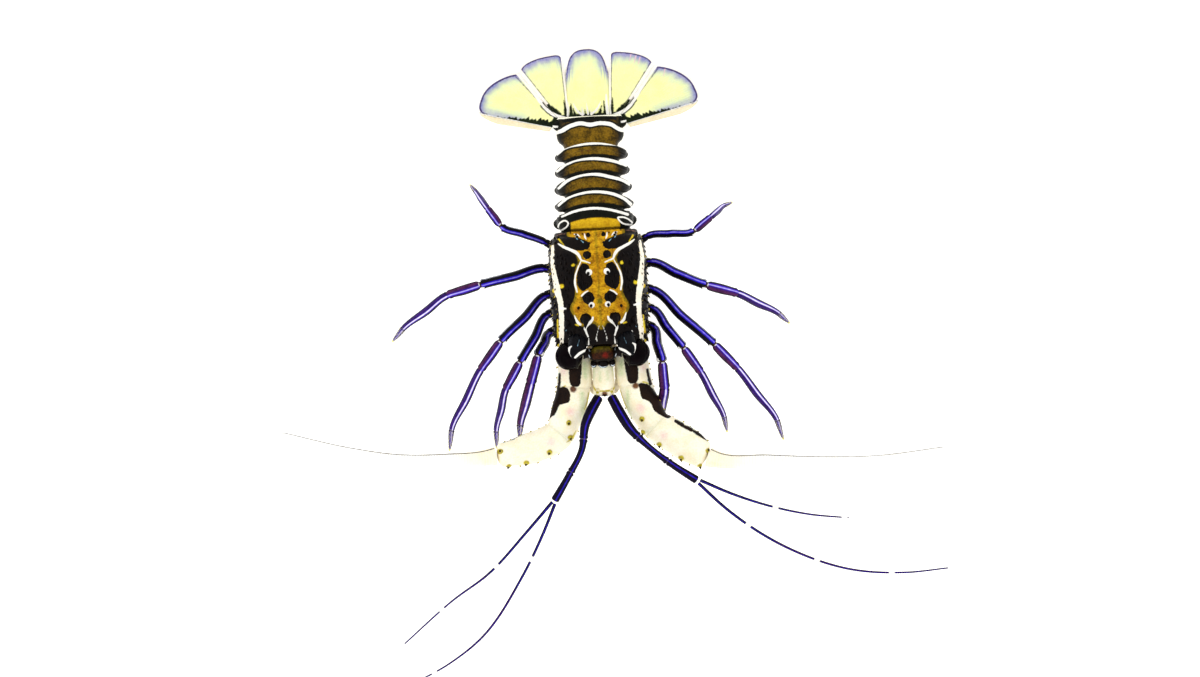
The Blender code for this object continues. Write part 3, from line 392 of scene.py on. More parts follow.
def linear(hex_colour):
    """sRGB hex to linear light."""
    values = [int(hex_colour[i:i + 2], 16) / 255 for i in (1, 3, 5)]
    return [v / 12.92 if v <= 0.04045 else ((v + 0.055) / 1.055) ** 2.4 for v in values] + [1.0]


def add(tree, kind, inputs=None, **settings):
    """Adds a node: settings are its properties, inputs its sockets, each a number, a colour or another
    node's output."""
    node = tree.nodes.new("ShaderNode" + kind)
    for name, value in settings.items():
        setattr(node, name, value)
    for socket, value in (inputs or {}).items():
        if isinstance(value, bpy.types.NodeSocket):
            tree.links.new(value, node.inputs[socket])
        else:
            node.inputs[socket].default_value = value
    return node


def chitin(name, ground, mottle_mm, layers=(), rough=(0.3, 0.45), grain_mm=0.5, grain_deep=0.03,
           gloss=0.05, glow=0.0):
    """Shell material: two ground colours mottled together, then one coat of colour for each mark.

    A layer is a mark, two colours, the half width of its edge and the wobble of its edge in mm.
    """
    stuff = bpy.data.materials.new(name)
    stuff.use_nodes = True
    COATS[name] = [layer[0] for layer in layers]
    tree = stuff.node_tree
    shader = tree.nodes["Principled BSDF"]
    place = add(tree, "TexCoord").outputs["Object"]
    mottle = add(tree, "TexNoise", {"Vector": place, "Scale": 1000 / mottle_mm, "Detail": 3.0}).outputs["Fac"]
    fleck = add(tree, "TexNoise", {"Vector": place, "Scale": 1000 / SPECKLE_MM, "Detail": 2.0}).outputs["Fac"]
    both = add(tree, "Math", {0: fleck, 1: 0.8, 2: mottle}, operation="MULTIPLY_ADD").outputs[0]
    spread = add(tree, "MapRange", {"Value": both, "From Min": 0.7, "From Max": 1.1}).outputs[0]
    wobble = add(tree, "TexNoise", {"Vector": place, "Scale": 1000 / 1.3, "Detail": 3.0}).outputs["Fac"]
    colour = add(tree, "Mix", {0: spread, 6: linear(ground[0]), 7: linear(ground[1])},
                 data_type="RGBA").outputs[2]
    for mark, pair, soft, shake in layers:
        away = add(tree, "Attribute", attribute_name=mark).outputs["Fac"]
        away = add(tree, "Math", {0: wobble, 1: 2 * shake, 2: away}, operation="MULTIPLY_ADD").outputs[0]
        cover = add(tree, "MapRange", {"Value": away, "From Min": shake - soft, "From Max": shake + soft,
                                       "To Min": 1.0, "To Max": 0.0}, interpolation_type="SMOOTHSTEP").outputs[0]
        over = add(tree, "Mix", {0: spread, 6: linear(pair[0]), 7: linear(pair[1])},
                   data_type="RGBA").outputs[2]
        colour = add(tree, "Mix", {0: cover, 6: colour, 7: over}, data_type="RGBA").outputs[2]
    tree.links.new(colour, shader.inputs["Base Color"])
    grain = add(tree, "TexNoise", {"Vector": place, "Scale": 1000 / grain_mm, "Detail": 3.0}).outputs["Fac"]
    shine = add(tree, "MapRange", {"Value": grain, "From Min": 0.3, "From Max": 0.7,
                                   "To Min": rough[0], "To Max": rough[1]}).outputs[0]
    tree.links.new(shine, shader.inputs["Roughness"])
    bump = add(tree, "Bump", {"Height": grain, "Distance": grain_deep * MM, "Strength": 1.0})
    tree.links.new(bump.outputs["Normal"], shader.inputs["Normal"])
    shader.inputs["IOR"].default_value = 1.55
    shader.inputs["Specular IOR Level"].default_value = gloss
    if glow:
        shader.inputs["Subsurface Weight"].default_value = glow
        shader.inputs["Subsurface Radius"].default_value = (1.0, 0.8, 0.6)
        shader.inputs["Subsurface Scale"].default_value = 0.6 * MM
    return stuff


BLACK = ("#050304", "#120B08")
WHITE = ("#F6F3EA", "#E6E4DC")
YELLOW = ("#E6D22A", "#C9A21A")

# Carapace of a spiny lobster: hard, calcified, smooth between its spines, so it shines softly; its pale blue glint
# streaks are painted highlights.
SHELL = chitin("calcified_shell_carapace", BLACK, 2.4, (
    ("gold", ("#8A5C04", "#D2A016"), 0.25, 0.45),
    ("amber", ("#8E5A06", "#B87A0A"), 1.6, 0.8),
    ("olive", ("#4E4606", "#7E7010"), 0.7, 0.5),
    ("patch", BLACK, 0.12, 0.45),
    ("yellow", YELLOW, 0.3, 0.4),
    ("cream", ("#F4EEDC", "#E9DFCB"), 0.1, 0.45),
    ("white", WHITE, 0.1, 0.12),
    ("pink", ("#8E6658", "#5E4238"), 0.15, 0.2),
    ("glint", ("#9FC6D8", "#5F8EA8"), 0.12, 0.15),
    ("dot", BLACK, 0.1, 0.08),
    ("below", ("#B8A888", "#8A7A5C"), 0.8, 0.6)), grain_deep=0.04)
# Spines of the shell: dark horn with a worn, paler point.
SPINE = chitin("horn_spines_dark", BLACK, 1.6, (
    ("pale_tip", ("#C9B888", "#8E7C4E"), 0.12, 0.1), ("straw", ("#E0C84E", "#B99A22"), 0.3, 0.1)),
    grain_mm=0.3)
# The two horns over the eyes: smooth black horn with a white edge and a painted blue highlight.
HORN_STUFF = chitin("horn_black_white_edge", ("#050406", "#0C0E12"), 2.0, (
    ("white", WHITE, 0.1, 0.1), ("glint", ("#9FC6D8", "#5F8EA8"), 0.12, 0.1)), rough=(0.18, 0.3))
# Eye: glassy facets, far too fine to see, drawn at 0.28 mm so that the eye isn't a plain ball.
EYE = chitin("faceted_eye", ("#040203", "#0C0507"), 1.8, (), rough=(0.12, 0.2), grain_mm=0.28,
             grain_deep=0.01,
             gloss=0.02)
# Brow between the eyes: red-brown horn, olive behind and black in front, with painted blue-white highlights on the
# black eyestalks and lobes.
BROW = chitin("brow_red_brown", ("#3E1E0E", "#241008"), 1.2, (
    ("olive", ("#6E6218", "#463C12"), 1.5, 0.5), ("red", ("#7A1E14", "#54120C"), 0.7, 0.4),
    ("patch", BLACK, 0.3, 0.3), ("glint", ("#E4EAF0", "#A9BCCB"), 0.12, 0.1)), rough=(0.26, 0.4))
# Antennae: thick cream shell, faintly see-through, with dark strips and saddles on the outer side.
PEDUNCLE = chitin("pale_shell_antenna", ("#F5E9C6", "#FCF5E0"), 5.0, (
    ("green", ("#BFD09C", "#DDE6B8"), 1.6, 1.0), ("blush", ("#F0CFC0", "#F8E4D8"), 1.6, 0.8),
    ("straw", ("#D6C83C", "#B09A1E"), 0.3, 0.25), ("brown", ("#5A3C32", "#7A5230"), 0.5, 0.4),
    ("patch", ("#120B0A", "#23150C"), 0.15, 0.3), ("teal", ("#1F6F78", "#2C8C94"), 0.15, 0.1),
    ("white", WHITE, 0.1, 0.1)), rough=(0.3, 0.46), glow=0.15)
# Spines of the antennae: pale root, straw middle and a dark point.
PALE_SPINE = chitin("pale_horn_spines", ("#F0E2C0", "#E6D9A8"), 1.6, (
    ("straw_ring", ("#CDBE34", "#9E8E1C"), 0.15, 0.1), ("dark_tip", ("#2E2A0A", "#54480E"), 0.12, 0.1)),
    grain_mm=0.3)
# Whips of the antennae: hundreds of stiff white rings, cream at the base, with painted shade as a dark line along the
# hind edge.
FLAGELLUM = chitin("ringed_feeler_white", ("#FFFFFF", "#FAF9F5"), 3.0, (
    ("cream", ("#F8EBC6", "#FBF4DC"), 11.0, 0.1), ("front", ("#E0B84A", "#D89A3A"), 0.1, 0.12),
    ("rings", ("#EFEBE0", "#E8E3D4"), 0.12, 0.05), ("hind", ("#2A2010", "#5A4A20"), 0.08, 0.12)),
    rough=(0.35, 0.5), gloss=0.1)
# Antennules: thin black feelers with a blue-violet stripe and white bands.
FEELER = chitin("ringed_feeler_dark", ("#0A0616", "#140C24"), 2.0, (
    ("plum", ("#1C0818", "#300E26"), 0.4, 0.4), ("violet", ("#2214A8", "#3626C4"), 0.15, 0.15),
    ("pale", ("#9A90CC", "#6E62B4"), 0.1, 0.08), ("joint", ("#6A5A78", "#3E3050"), 0.12, 0.08),
    ("white", WHITE, 0.12, 0.05)), rough=(0.26, 0.4))
# Legs: thin glossy shell, black with a blue stripe and a pale line, violet and plum on the lower lengths; a grey
# stripe near the knee is a painted highlight of the gloss.
LEG = chitin("glossy_shell_leg_blue", ("#06040A", "#0E0A18"), 2.0, (
    ("belly", ("#4A4468", "#2E284C"), 0.5, 0.3), ("blue", ("#2410B4", "#3420D4"), 0.25, 0.15),
    ("teal", ("#0E343A", "#164E54"), 0.15, 0.1), ("pale", ("#A79CEC", "#C9C0F6"), 0.12, 0.08),
    ("grey", ("#C9CDD6", "#9AA0AE"), 0.1, 0.08), ("white", WHITE, 0.12, 0.08)), rough=(0.2, 0.34))
LOWER_LEG = chitin("glossy_shell_leg_plum", ("#24104E", "#38186E"), 3.0, (
    ("belly", ("#4A4468", "#2E284C"), 0.5, 0.3), ("plum", ("#361638", "#562452"), 0.6, 0.4),
    ("dark", ("#08050E", "#140C20"), 0.3, 0.15), ("blue", ("#3418C0", "#4A30D8"), 0.3, 0.15),
    ("pale", ("#D6C8F4", "#F0E8FA"), 0.12, 0.08), ("white", ("#EFECE6", "#D8D6DA"), 0.12, 0.08)), rough=(0.2,
            0.34))
DACTYL = chitin("horn_claw_point", ("#33246E", "#4A3A8A"), 2.0, (
    ("dark", ("#140E1C", "#221A2E"), 0.15, 0.1), ("pale", ("#B4ABD6", "#8E84BC"), 0.12, 0.08),
    ("straw", ("#D8CE6A", "#EEE8A8"), 0.5, 0.2)), rough=(0.28, 0.42))
# Soft skin in the joints: pale, a little matt.
MEMBRANE = chitin("joint_skin", ("#4A3022", "#241610"), 1.2, (), rough=(0.45, 0.6))
# Tail rings: smooth olive-brown shell with a white band and dark edges.
TAIL_RING = chitin("calcified_shell_tail_rings", ("#402F04", "#7E5E10"), 3.2, (
    ("shade", ("#120E08", "#0C0A06"), 2.2, 0.9), ("gold", ("#B88A0E", "#DDB41C"), 0.3, 0.4),
    ("ember", ("#54300C", "#7A6414"), 0.5, 0.6), ("patch", ("#080806", "#10120A"), 0.3, 0.3),
    ("white", WHITE, 0.1, 0.14), ("below", ("#C9BC98", "#A09070"), 0.8, 0.5)))
# Tail fan: thin, leathery, half-limp blades; they let light through and are duller than the shell.
FAN = chitin("leathery_fan_blade", ("#F4F3A4", "#EDEFB4"), 6.0, (
    ("cool", ("#DFE8B0", "#D4E0BE"), 2.4, 0.6), ("lilac", ("#7C82BA", "#9C96C0"), 1.7, 0.6),
    ("violet", ("#44345E", "#362A58"), 0.25, 0.25), ("fringe", ("#FAF6EE", "#F0E8DC"), 0.1, 0.1),
    ("patch", ("#0A1208", "#1A240E"), 0.3, 0.5), ("notch", ("#E8B4BC", "#DFC2CC"), 0.25, 0.2),
    ("white", WHITE, 0.12, 0.15), ("cream", ("#F2E6C8", "#E6D8B0"), 0.12, 0.2)),
    rough=(0.36, 0.5), glow=0.1)
# Underside: pale, matt shell.
UNDERSIDE = chitin("pale_shell_underside", ("#D8CDB4", "#BCAE92"), 3.0, (
    ("patch", ("#2A2030", "#3A2C46"), 0.5, 0.5),), rough=(0.4, 0.55))


# Carapace

def trunk(table, y, arch, under):
    """Sections at each Y: x = half width × |cos|^p, z rises to the top as |sin|^p and falls to the lower
    edge below, then turns in and runs flat."""
    row = curve(table[:, 0], table, y)
    half, top, wide, edge = row[:, 1:2], row[:, 2:3], row[:, 3:4], row[:, 4:5]
    turn = np.linspace(-LOW_TURN, math.pi + LOW_TURN, arch)[None]
    power = 2 / BACK_POWER
    rise = np.abs(np.sin(turn)) ** power
    x = half * np.sign(np.cos(turn)) * np.abs(np.cos(turn)) ** power
    drop = (wide - edge) / math.sin(LOW_TURN) ** power
    z = np.where(np.sin(turn) > 0, wide + (top - wide) * rise, wide - drop * rise)
    rim = x[:, :1]
    low = under if np.ndim(under) else np.full_like(rim, under)
    x = np.hstack((x, -(rim - 1.5), -(rim - 4.2), -rim * 0.4, 0 * rim, rim * 0.4, rim - 4.2, rim - 1.5))
    z = np.hstack((z, edge + 0.1, low, low, low, low, low, edge + 0.1))
    return np.stack((x, np.broadcast_to(np.asarray(y)[:, None], x.shape), z), axis=-1)


def normals(points):
    """Outward directions of a ringed surface: along × round, turned away from each ring's middle."""
    along = np.gradient(points, axis=0)
    around = np.roll(points, -1, axis=1) - np.roll(points, 1, axis=1)
    out = unit(np.cross(along, around))
    middle = points.mean(axis=1, keepdims=True)
    flip = np.einsum("ijk,ijk->ij", out, points - middle) < 0
    return np.where(flip.mean() > 0.5, -out, out)


def on_back(x, y):
    """Height of the carapace over plan points, and the way out of it there."""
    def height(px, py):
        row = curve(CARAPACE[:, 0], CARAPACE, np.clip(py, 0, 46))
        level = np.clip(np.abs(px) / row[:, 1], 0, 0.999) ** (BACK_POWER / 2)
        return row[:, 3] + (row[:, 2] - row[:, 3]) * np.sqrt(1 - level ** 2) ** (2 / BACK_POWER)
    z = height(x, y)
    slope_x = (height(x + 0.2, y) - height(x - 0.2, y)) / 0.4
    slope_y = (height(x, y + 0.2) - height(x, y - 0.2)) / 0.4
    return np.stack((x, y, z), axis=-1), unit(np.stack((-slope_x, -slope_y, np.ones_like(z)), axis=-1))


FLANK_LINE = ((17.1, 40.2, 0.55), (17.6, 35.0, 0.75), (17.4, 31.0, 0.8), (16.8, 27.0, 1.1), (16.3, 23.0, 1.3),
              (15.4, 18.5, 1.1), (15.2, 14.0, 0.95), (15.4, 9.0, 1.0), (15.7, 4.5, 0.95), (15.9, 0.6, 0.8))
GROOVE = ((15.4, 41.4, 0.25), (13.4, 40.0, 0.5), (10.6, 38.6, 0.55), (8.3, 37.3, 0.65), (7.0, 35.6, 0.5),
          (6.5, 34.3, 0.35), (4.8, 33.6, 0.3), (3.0, 32.8, 0.25))
INNER_LINE = ((6.7, 33.6, 0.2), (7.9, 30.9, 0.28), (9.0, 28.0, 0.33), (9.3, 25.0, 0.4), (8.7, 21.6, 0.3))
LENS = ((15.2, 44.4), (11.4, 44.2), (8.2, 43.4), (5.2, 42.4), (2.5, 40.9), (2.6, 38.9), (4.4, 37.9),
        (7.4, 37.9),
        (10.4, 38.9), (13.2, 40.8), (15.6, 42.2))
FLANK_PATCH = ((16.6, 40.4), (13.4, 39.1), (10.4, 37.4), (8.0, 35.4), (8.3, 32.6), (9.5, 29.0), (9.9, 25.0),
               (9.4, 21.4), (10.2, 18.6), (12.2, 15.9), (14.0, 17.0), (15.0, 20.6), (15.6, 25.0), (16.8,
                       30.5),
               (17.0, 36.0))
INNER_PATCH = ((6.2, 33.0), (3.6, 32.3), (3.2, 30.6), (3.0, 28.4), (2.3, 26.2), (2.6, 24.0), (4.8, 22.4),
               (6.6, 21.6),
               (8.3, 23.6), (8.7, 26.6), (8.2, 29.4), (7.2, 31.4))
GOLD = ((0.0, 47.5), (11.6, 47.5), (11.2, 44.6), (12.0, 40.0), (8.4, 36.6), (7.2, 33.6), (9.2, 30.0),
        (9.6, 25.6),
        (9.2, 21.4), (10.2, 18.0), (12.0, 15.6), (10.5, 12.0), (9.0, 9.2), (7.6, 7.6), (5.4, 8.2), (2.8, 9.2),
        (1.4, 7.8), (0.5, 6.4), (-0.5, 6.2), (-0.5, 47.5))
FRONT_PATCH = ((13.3, 15.9), (12.0, 14.4), (10.4, 11.6), (9.0, 9.0), (7.4, 7.6), (6.6, 5.0), (6.9, 1.0),
               (7.4, -3.0),
               (14.6, -3.0), (14.5, 3.0), (14.5, 8.0), (14.2, 13.0))
DIAMOND = ((4.3, 22.0), (7.3, 20.4), (6.4, 17.4), (4.4, 16.0), (2.2, 17.3), (1.8, 20.0))


def carapace_marks(x, y, top):
    """Distances that paint the carapace, from |X| and Y in the plan. `top` is false under its lower edge."""
    ax = np.abs(x)
    front = ((5.8, 10.6, 2.35), (3.95, 35.9, 1.65))
    dots = ((2.9, 40.6, 0.55), (3.05, 44.0, 0.9), (7.5, 43.6, 0.6), (3.5, 15.7, 0.6), (8.5, 15.2, 0.6),
            (3.95, 28.5, 0.65), (10.0, 45.2, 0.35), (5.3, 44.6, 0.3))
    rings = ((3.2, 16.1, 1.15), (3.5, 29.1, 1.25))
    gold = to_patch(ax, y, GOLD)
    marks = {
        "gold": gold,
        "olive": nearest_of(np.maximum(gold, -0.7 - gold), to_spot(ax, y, (0, 17.5, 1.2)),
                            to_spot(ax, y, (7.2, 18.6, 0.5)), to_spot(ax, y, (6.2, 35.4, 0.5))),
        "amber": nearest_of(to_spot(ax, y, (0, 31, 1.2)), to_spot(ax, y, (8.6, 14.6, 1.6)),
                            to_line(ax, y, ((0, 36, 0.7), (0, 26, 0.9)))),
        "patch": nearest_of(to_patch(ax, y, LENS), to_patch(ax, y, FLANK_PATCH), to_patch(ax, y, INNER_PATCH),
                            to_patch(ax, y, FRONT_PATCH), to_patch(ax, y, DIAMOND),
                            *[to_spot(ax, y, spot) for spot in front]),
        "yellow": nearest_of(to_line(ax, y, ((16.9, 12.0, 0.3), (17.0, 5.0, 0.5), (17.2, 0.5, 0.6))),
                             to_spot(ax, y, (17.6, 22.6, 0.75)), to_spot(ax, y, (14.6, 24.2, 0.8)),
                             to_spot(ax, y, (9.7, 32.3, 0.62)), to_line(ax, y,
                                     ((14.8, 43.0, 0.35), (13.2, 40.6, 0.2))),
                             to_line(ax, y, ((6.6, 34.0, 0.4), (4.2, 33.0, 0.3))),
                             to_line(ax, y, ((10.0, 8.6, 0.3), (8.9, 8.4, 0.3)))),
        "cream": to_line(ax, y, FLANK_LINE),
        "white": nearest_of(
            to_line(ax, y, GROOVE), to_line(ax, y, INNER_LINE),
            to_line(ax, y, ((7.0, 19.9, 0.3), (5.8, 21.0, 0.32), (4.4, 21.7, 0.25))),
            to_line(ax, y, ((3.0, 11.2, 0.35), (3.3, 10.2, 0.45), (4.3, 9.2, 0.6), (5.6, 8.2, 0.65),
                            (6.3, 7.0, 0.55),
                            (6.0, 5.6, 0.4), (5.3, 3.6, 0.25))),
            to_line(ax, y, ((8.1, 8.6, 0.45), (9.0, 9.4, 0.5), (9.7, 10.8, 0.35), (10.3, 12.4, 0.15))),
            to_line(ax, y, ((15.2, 15.6, 0.6), (13.8, 15.3, 0.35), (12.4, 15.2, 0.15))),
            to_line(ax, y, ((10.7, 2.9, 0.2), (10.5, 1.0, 0.35))),
            to_line(ax, y, ((7.6, 2.2, 0.25), (6.9, 1.1, 0.4), (8.0, 0.7, 0.25))),
            to_line(ax, y, ((12.1, 5.2, 0.12), (12.9, 3.2, 0.2))),
            # This stroke by the brow is a painted highlight; the other white strokes are the shell's own lines.
            to_line(ax, y, ((5.1, 3.0, 0.1), (5.3, 0.6, 0.3), (5.4, -0.8, 0.35))),
            to_line(ax, y, ((0.75, 7.6, 0.12), (1.5, 5.2, 0.1), (2.3, 2.4, 0.12))),
            to_line(ax, y, ((2.0, 3.2, 0.14), (1.9, 1.6, 0.16))),
            to_line(ax, y, ((4.5, 44.6, 0.15), (4.3, 43.2, 0.35), (3.9, 42.2, 0.15))),
            to_line(ax, y, ((6.2, 43.2, 0.1), (7.2, 44.3, 0.3), (8.6, 44.6, 0.12))),
            *[to_spot(ax, y, spot) for spot in rings]),
        "pink": to_line(ax, y, ((16.2, 44.4, 0.05), (14.0, 44.9, 0.1), (12.0, 44.9, 0.05))),
        # Painted highlights: pale blue streaks on the dark lens patches and near the front.
        "glint": nearest_of(to_line(ax, y, ((8.3, 44.0, 0.14), (7.4, 42.4, 0.2))),
                            to_line(ax, y, ((6.0, 41.9, 0.12), (5.1, 41.0, 0.2))),
                            to_line(ax, y, ((13.2, 8.4, 0.1), (13.9, 6.6, 0.15)))),
        "dot": nearest_of(*[to_spot(ax, y, spot) for spot in dots]),
    }
    marks["dot"] = nearest_of(marks["dot"], 45.9 - y)
    marks["below"] = np.where(top, FAR, -1.0)
    for name in marks:
        if name != "below":
            marks[name] = np.where(top, marks[name], FAR)
    return marks


def carapace_shell():
    """The carapace's skin: trunk sections with the grooves sunk, the hind rim raised, and both ends rolled
    in."""
    y = np.linspace(0, 46, 235)
    points = trunk(CARAPACE, y, 300, CARAPACE_UNDER)
    rise = np.broadcast_to(np.arange(points.shape[1])[None] < 300, points.shape[:2])
    top = rise & (points[:, :, 2] > 17.5)
    marks = carapace_marks(points[:, :, 0], points[:, :, 1], top)
    out = normals(points)
    ax = np.abs(points[:, :, 0])
    lift = -0.4 * np.exp(-(np.maximum(marks["white"], 0) / 0.7) ** 2) * (to_line(ax, points[:, :, 1],
            GROOVE) < 2)
    lift += 0.35 * np.exp(-(np.maximum(marks["cream"], 0) / 1.1) ** 2)
    lift += 0.16 * np.clip(-marks["patch"] / 0.8, 0, 1)
    lift -= 0.3 * np.exp(-((points[:, :, 1] - 43.9) / 0.6) ** 2)
    lift += 0.25 * np.exp(-((points[:, :, 1] - 45.2) / 0.5) ** 2)
    lift -= 0.7 * (1 - np.sqrt(1 - np.clip(1 - points[:, :, 1] / 0.9, 0, 1) ** 2))
    lift -= 0.7 * (1 - np.sqrt(1 - np.clip(1 - (46 - points[:, :, 1]) / 0.9, 0, 1) ** 2))
    points = points + out * (lift * top)[:, :, None]
    share = np.linspace(0.985, 0.03, 30)[:, None, None]
    middle = np.array((0.0, 0.0, 23.0))
    face = points[0] * share + (middle + (0, points[0, 0, 1], 0)) * (1 - share)
    face[:, :, 1] -= 0.25 * np.sqrt(1 - share[:, :, 0] ** 2)
    back = points[-1] * share + (middle + (0, points[-1, 0, 1], 0)) * (1 - share)
    whole = np.concatenate((face[::-1], points, back))
    for side in SIDES.values():
        centre = EYE_CENTRE * (side, 1, 1)
        away = whole - centre
        far = np.linalg.norm(away, axis=-1, keepdims=True)
        socket = EYE_RADIUS + 0.4
        whole = np.where(far < socket, centre + away / np.maximum(far, 1e-6) * socket, whole)
    for name, value in marks.items():
        ends = np.full((30, value.shape[1]), FAR)
        marks[name] = np.concatenate((ends, value, ends))
    return grid(whole, marks)


def spinules():
    """Forward spines of the carapace: named ones on their spots, then rows of small ones over the dark
    patches and flanks."""
    named = np.array((
        (5.8, 10.9, 4.4, 1.75), (4.5, 19.0, 2.6, 1.2), (3.4, 15.9, 1.3, 0.55), (8.5, 15.3, 1.2, 0.5),
        (3.9, 28.7, 1.5, 0.6), (4.0, 36.0, 2.4, 1.2), (2.9, 40.7, 0.9, 0.4), (7.9, 44.4, 0.7, 0.4),
        (13.0, 9.6, 3.4, 1.15), (12.4, 16.2, 2.6, 0.9), (16.6, 12.6, 2.4, 0.8), (16.9, 3.0, 3.0, 1.0)))
    where, sizes, straw = [], [], []
    for side in SIDES.values():
        where.append(named[:, :2] * (side, 1))
        sizes.append(named[:, 2:])
        straw.append(np.zeros(len(named)))
        y, x = np.meshgrid(np.arange(2.0, 43.5, 2.1), np.arange(2.6, 20.0, 1.9), indexing="ij")
        x = (x + DRAW.uniform(-0.75, 0.75, x.shape)).ravel()
        y = (y + DRAW.uniform(-0.8, 0.8, y.shape)).ravel()
        marks = carapace_marks(x, y, np.ones(len(x), bool))
        dark = (marks["patch"] < -0.7) & (to_patch(x, y, LENS) > 0.3) & (to_patch(x, y, DIAMOND) > 0.3)
        flank = (x > 16.9) & (x < 18.4) & (marks["yellow"] > 0.3)
        keep = (dark | flank) & (marks["white"] > 0.5) & (marks["cream"] > 0.2)
        away = np.min([np.hypot(x - a, y - b) for a, b in named[:, :2]], axis=0)
        keep &= away > 2.2
        x, y = x[keep], y[keep]
        tall = DRAW.uniform(0.9, 1.7, len(x)) * (1.25 - 0.4 * y / 46)
        where.append(np.stack((x * side, y), axis=-1))
        sizes.append(np.stack((tall, 0.22 + tall * 0.2), axis=-1))
        straw.append((DRAW.random(len(x)) < 0.25) * (x > 16.6))
    where, sizes, straw = np.vstack(where), np.vstack(sizes), np.concatenate(straw)
    roots, out = on_back(where[:, 0], where[:, 1])
    lean = np.array((0.0, -0.9, 0.0))
    made = cones(roots, out + lean, sizes[:, 0], sizes[:, 1], (0, -0.22, 0.12), rows=6, sides=9)
    made["marks"]["pale_tip"] = np.full(len(made["points"]), FAR)
    made["marks"]["straw"] = np.where(np.repeat(straw, 56) > 0, 0.6 - made["marks"]["tip"], FAR)
    return made


def flank_spinules():
    """Rows of small spines down each flank, where the shell turns steep."""
    parts = []
    for side in SIDES.values():
        turn = np.radians(np.repeat((30, 16, 2, -12, -26), 19) + DRAW.uniform(-4, 4, 95))
        y = np.tile(np.linspace(2, 43.5, 19), 5) + DRAW.uniform(-0.7, 0.7, 95)
        row = curve(CARAPACE[:, 0], CARAPACE, np.clip(y, 0.3, 45))
        power = 2 / BACK_POWER
        rise = np.abs(np.sin(turn)) ** power
        drop = (row[:, 3] - row[:, 4]) / math.sin(LOW_TURN) ** power
        z = np.where(turn > 0, row[:, 3] + (row[:, 2] - row[:, 3]) * rise, row[:, 3] - drop * rise)
        x = row[:, 1] * np.cos(turn) ** power
        out = np.stack((np.cos(turn) * side, np.full(95, -0.8), np.sin(turn)), axis=-1)
        tall = DRAW.uniform(0.7, 1.3, 95)
        made = cones(np.stack((x * side, y, z), axis=-1), out, tall, 0.2 + tall * 0.2, (0, -0.25, 0.1),
                     rows=5, sides=8)
        made["marks"]["pale_tip"] = 0.7 - made["marks"]["tip"]
        made["marks"]["straw"] = np.where(np.repeat(DRAW.random(95) < 0.15, 42), 0.3 - made["marks"]["tip"],
                                          FAR)
        parts.append(made)
    return parts


def build_carapace():
    piece("carapace_shell", [carapace_shell()], SHELL, ["carapace"])
    piece("carapace_spines", [spinules()] + flank_spinules(), SPINE, ["carapace"])
    for word, side in SIDES.items():
        table = route(HORN, 0.25, (0.0, 0.3))
        made = tube(table, 48)
        x, y = made["points"][:, 0], made["points"][:, 1]
        above = made["points"][:, 2] > np.interp(y, table[::-1, 1], table[::-1, 2]) - 0.9
        white = nearest_of(to_line(x, y, ((12.1, 0.2, 0.2), (13.1, -0.6, 0.45), (13.5, -1.8, 0.6),
                                          (13.4, -3.0, 0.5), (12.8, -3.8, 0.3))),
                           to_line(x, y, ((10.9, -4.3, 0.4), (9.0, -2.8, 0.5), (6.4, -1.6, 0.4))))
        made["marks"]["white"] = np.where(above, white, FAR)
        # Painted highlight: a pale blue streak near the horn's root.
        made["marks"]["glint"] = np.where(above, to_line(x, y, ((9.0, 2.6, 0.12), (9.6, 0.2, 0.16))), FAR)
        piece("brow_horn_" + word, [made], HORN_STUFF, ["carapace"], side)


# Head

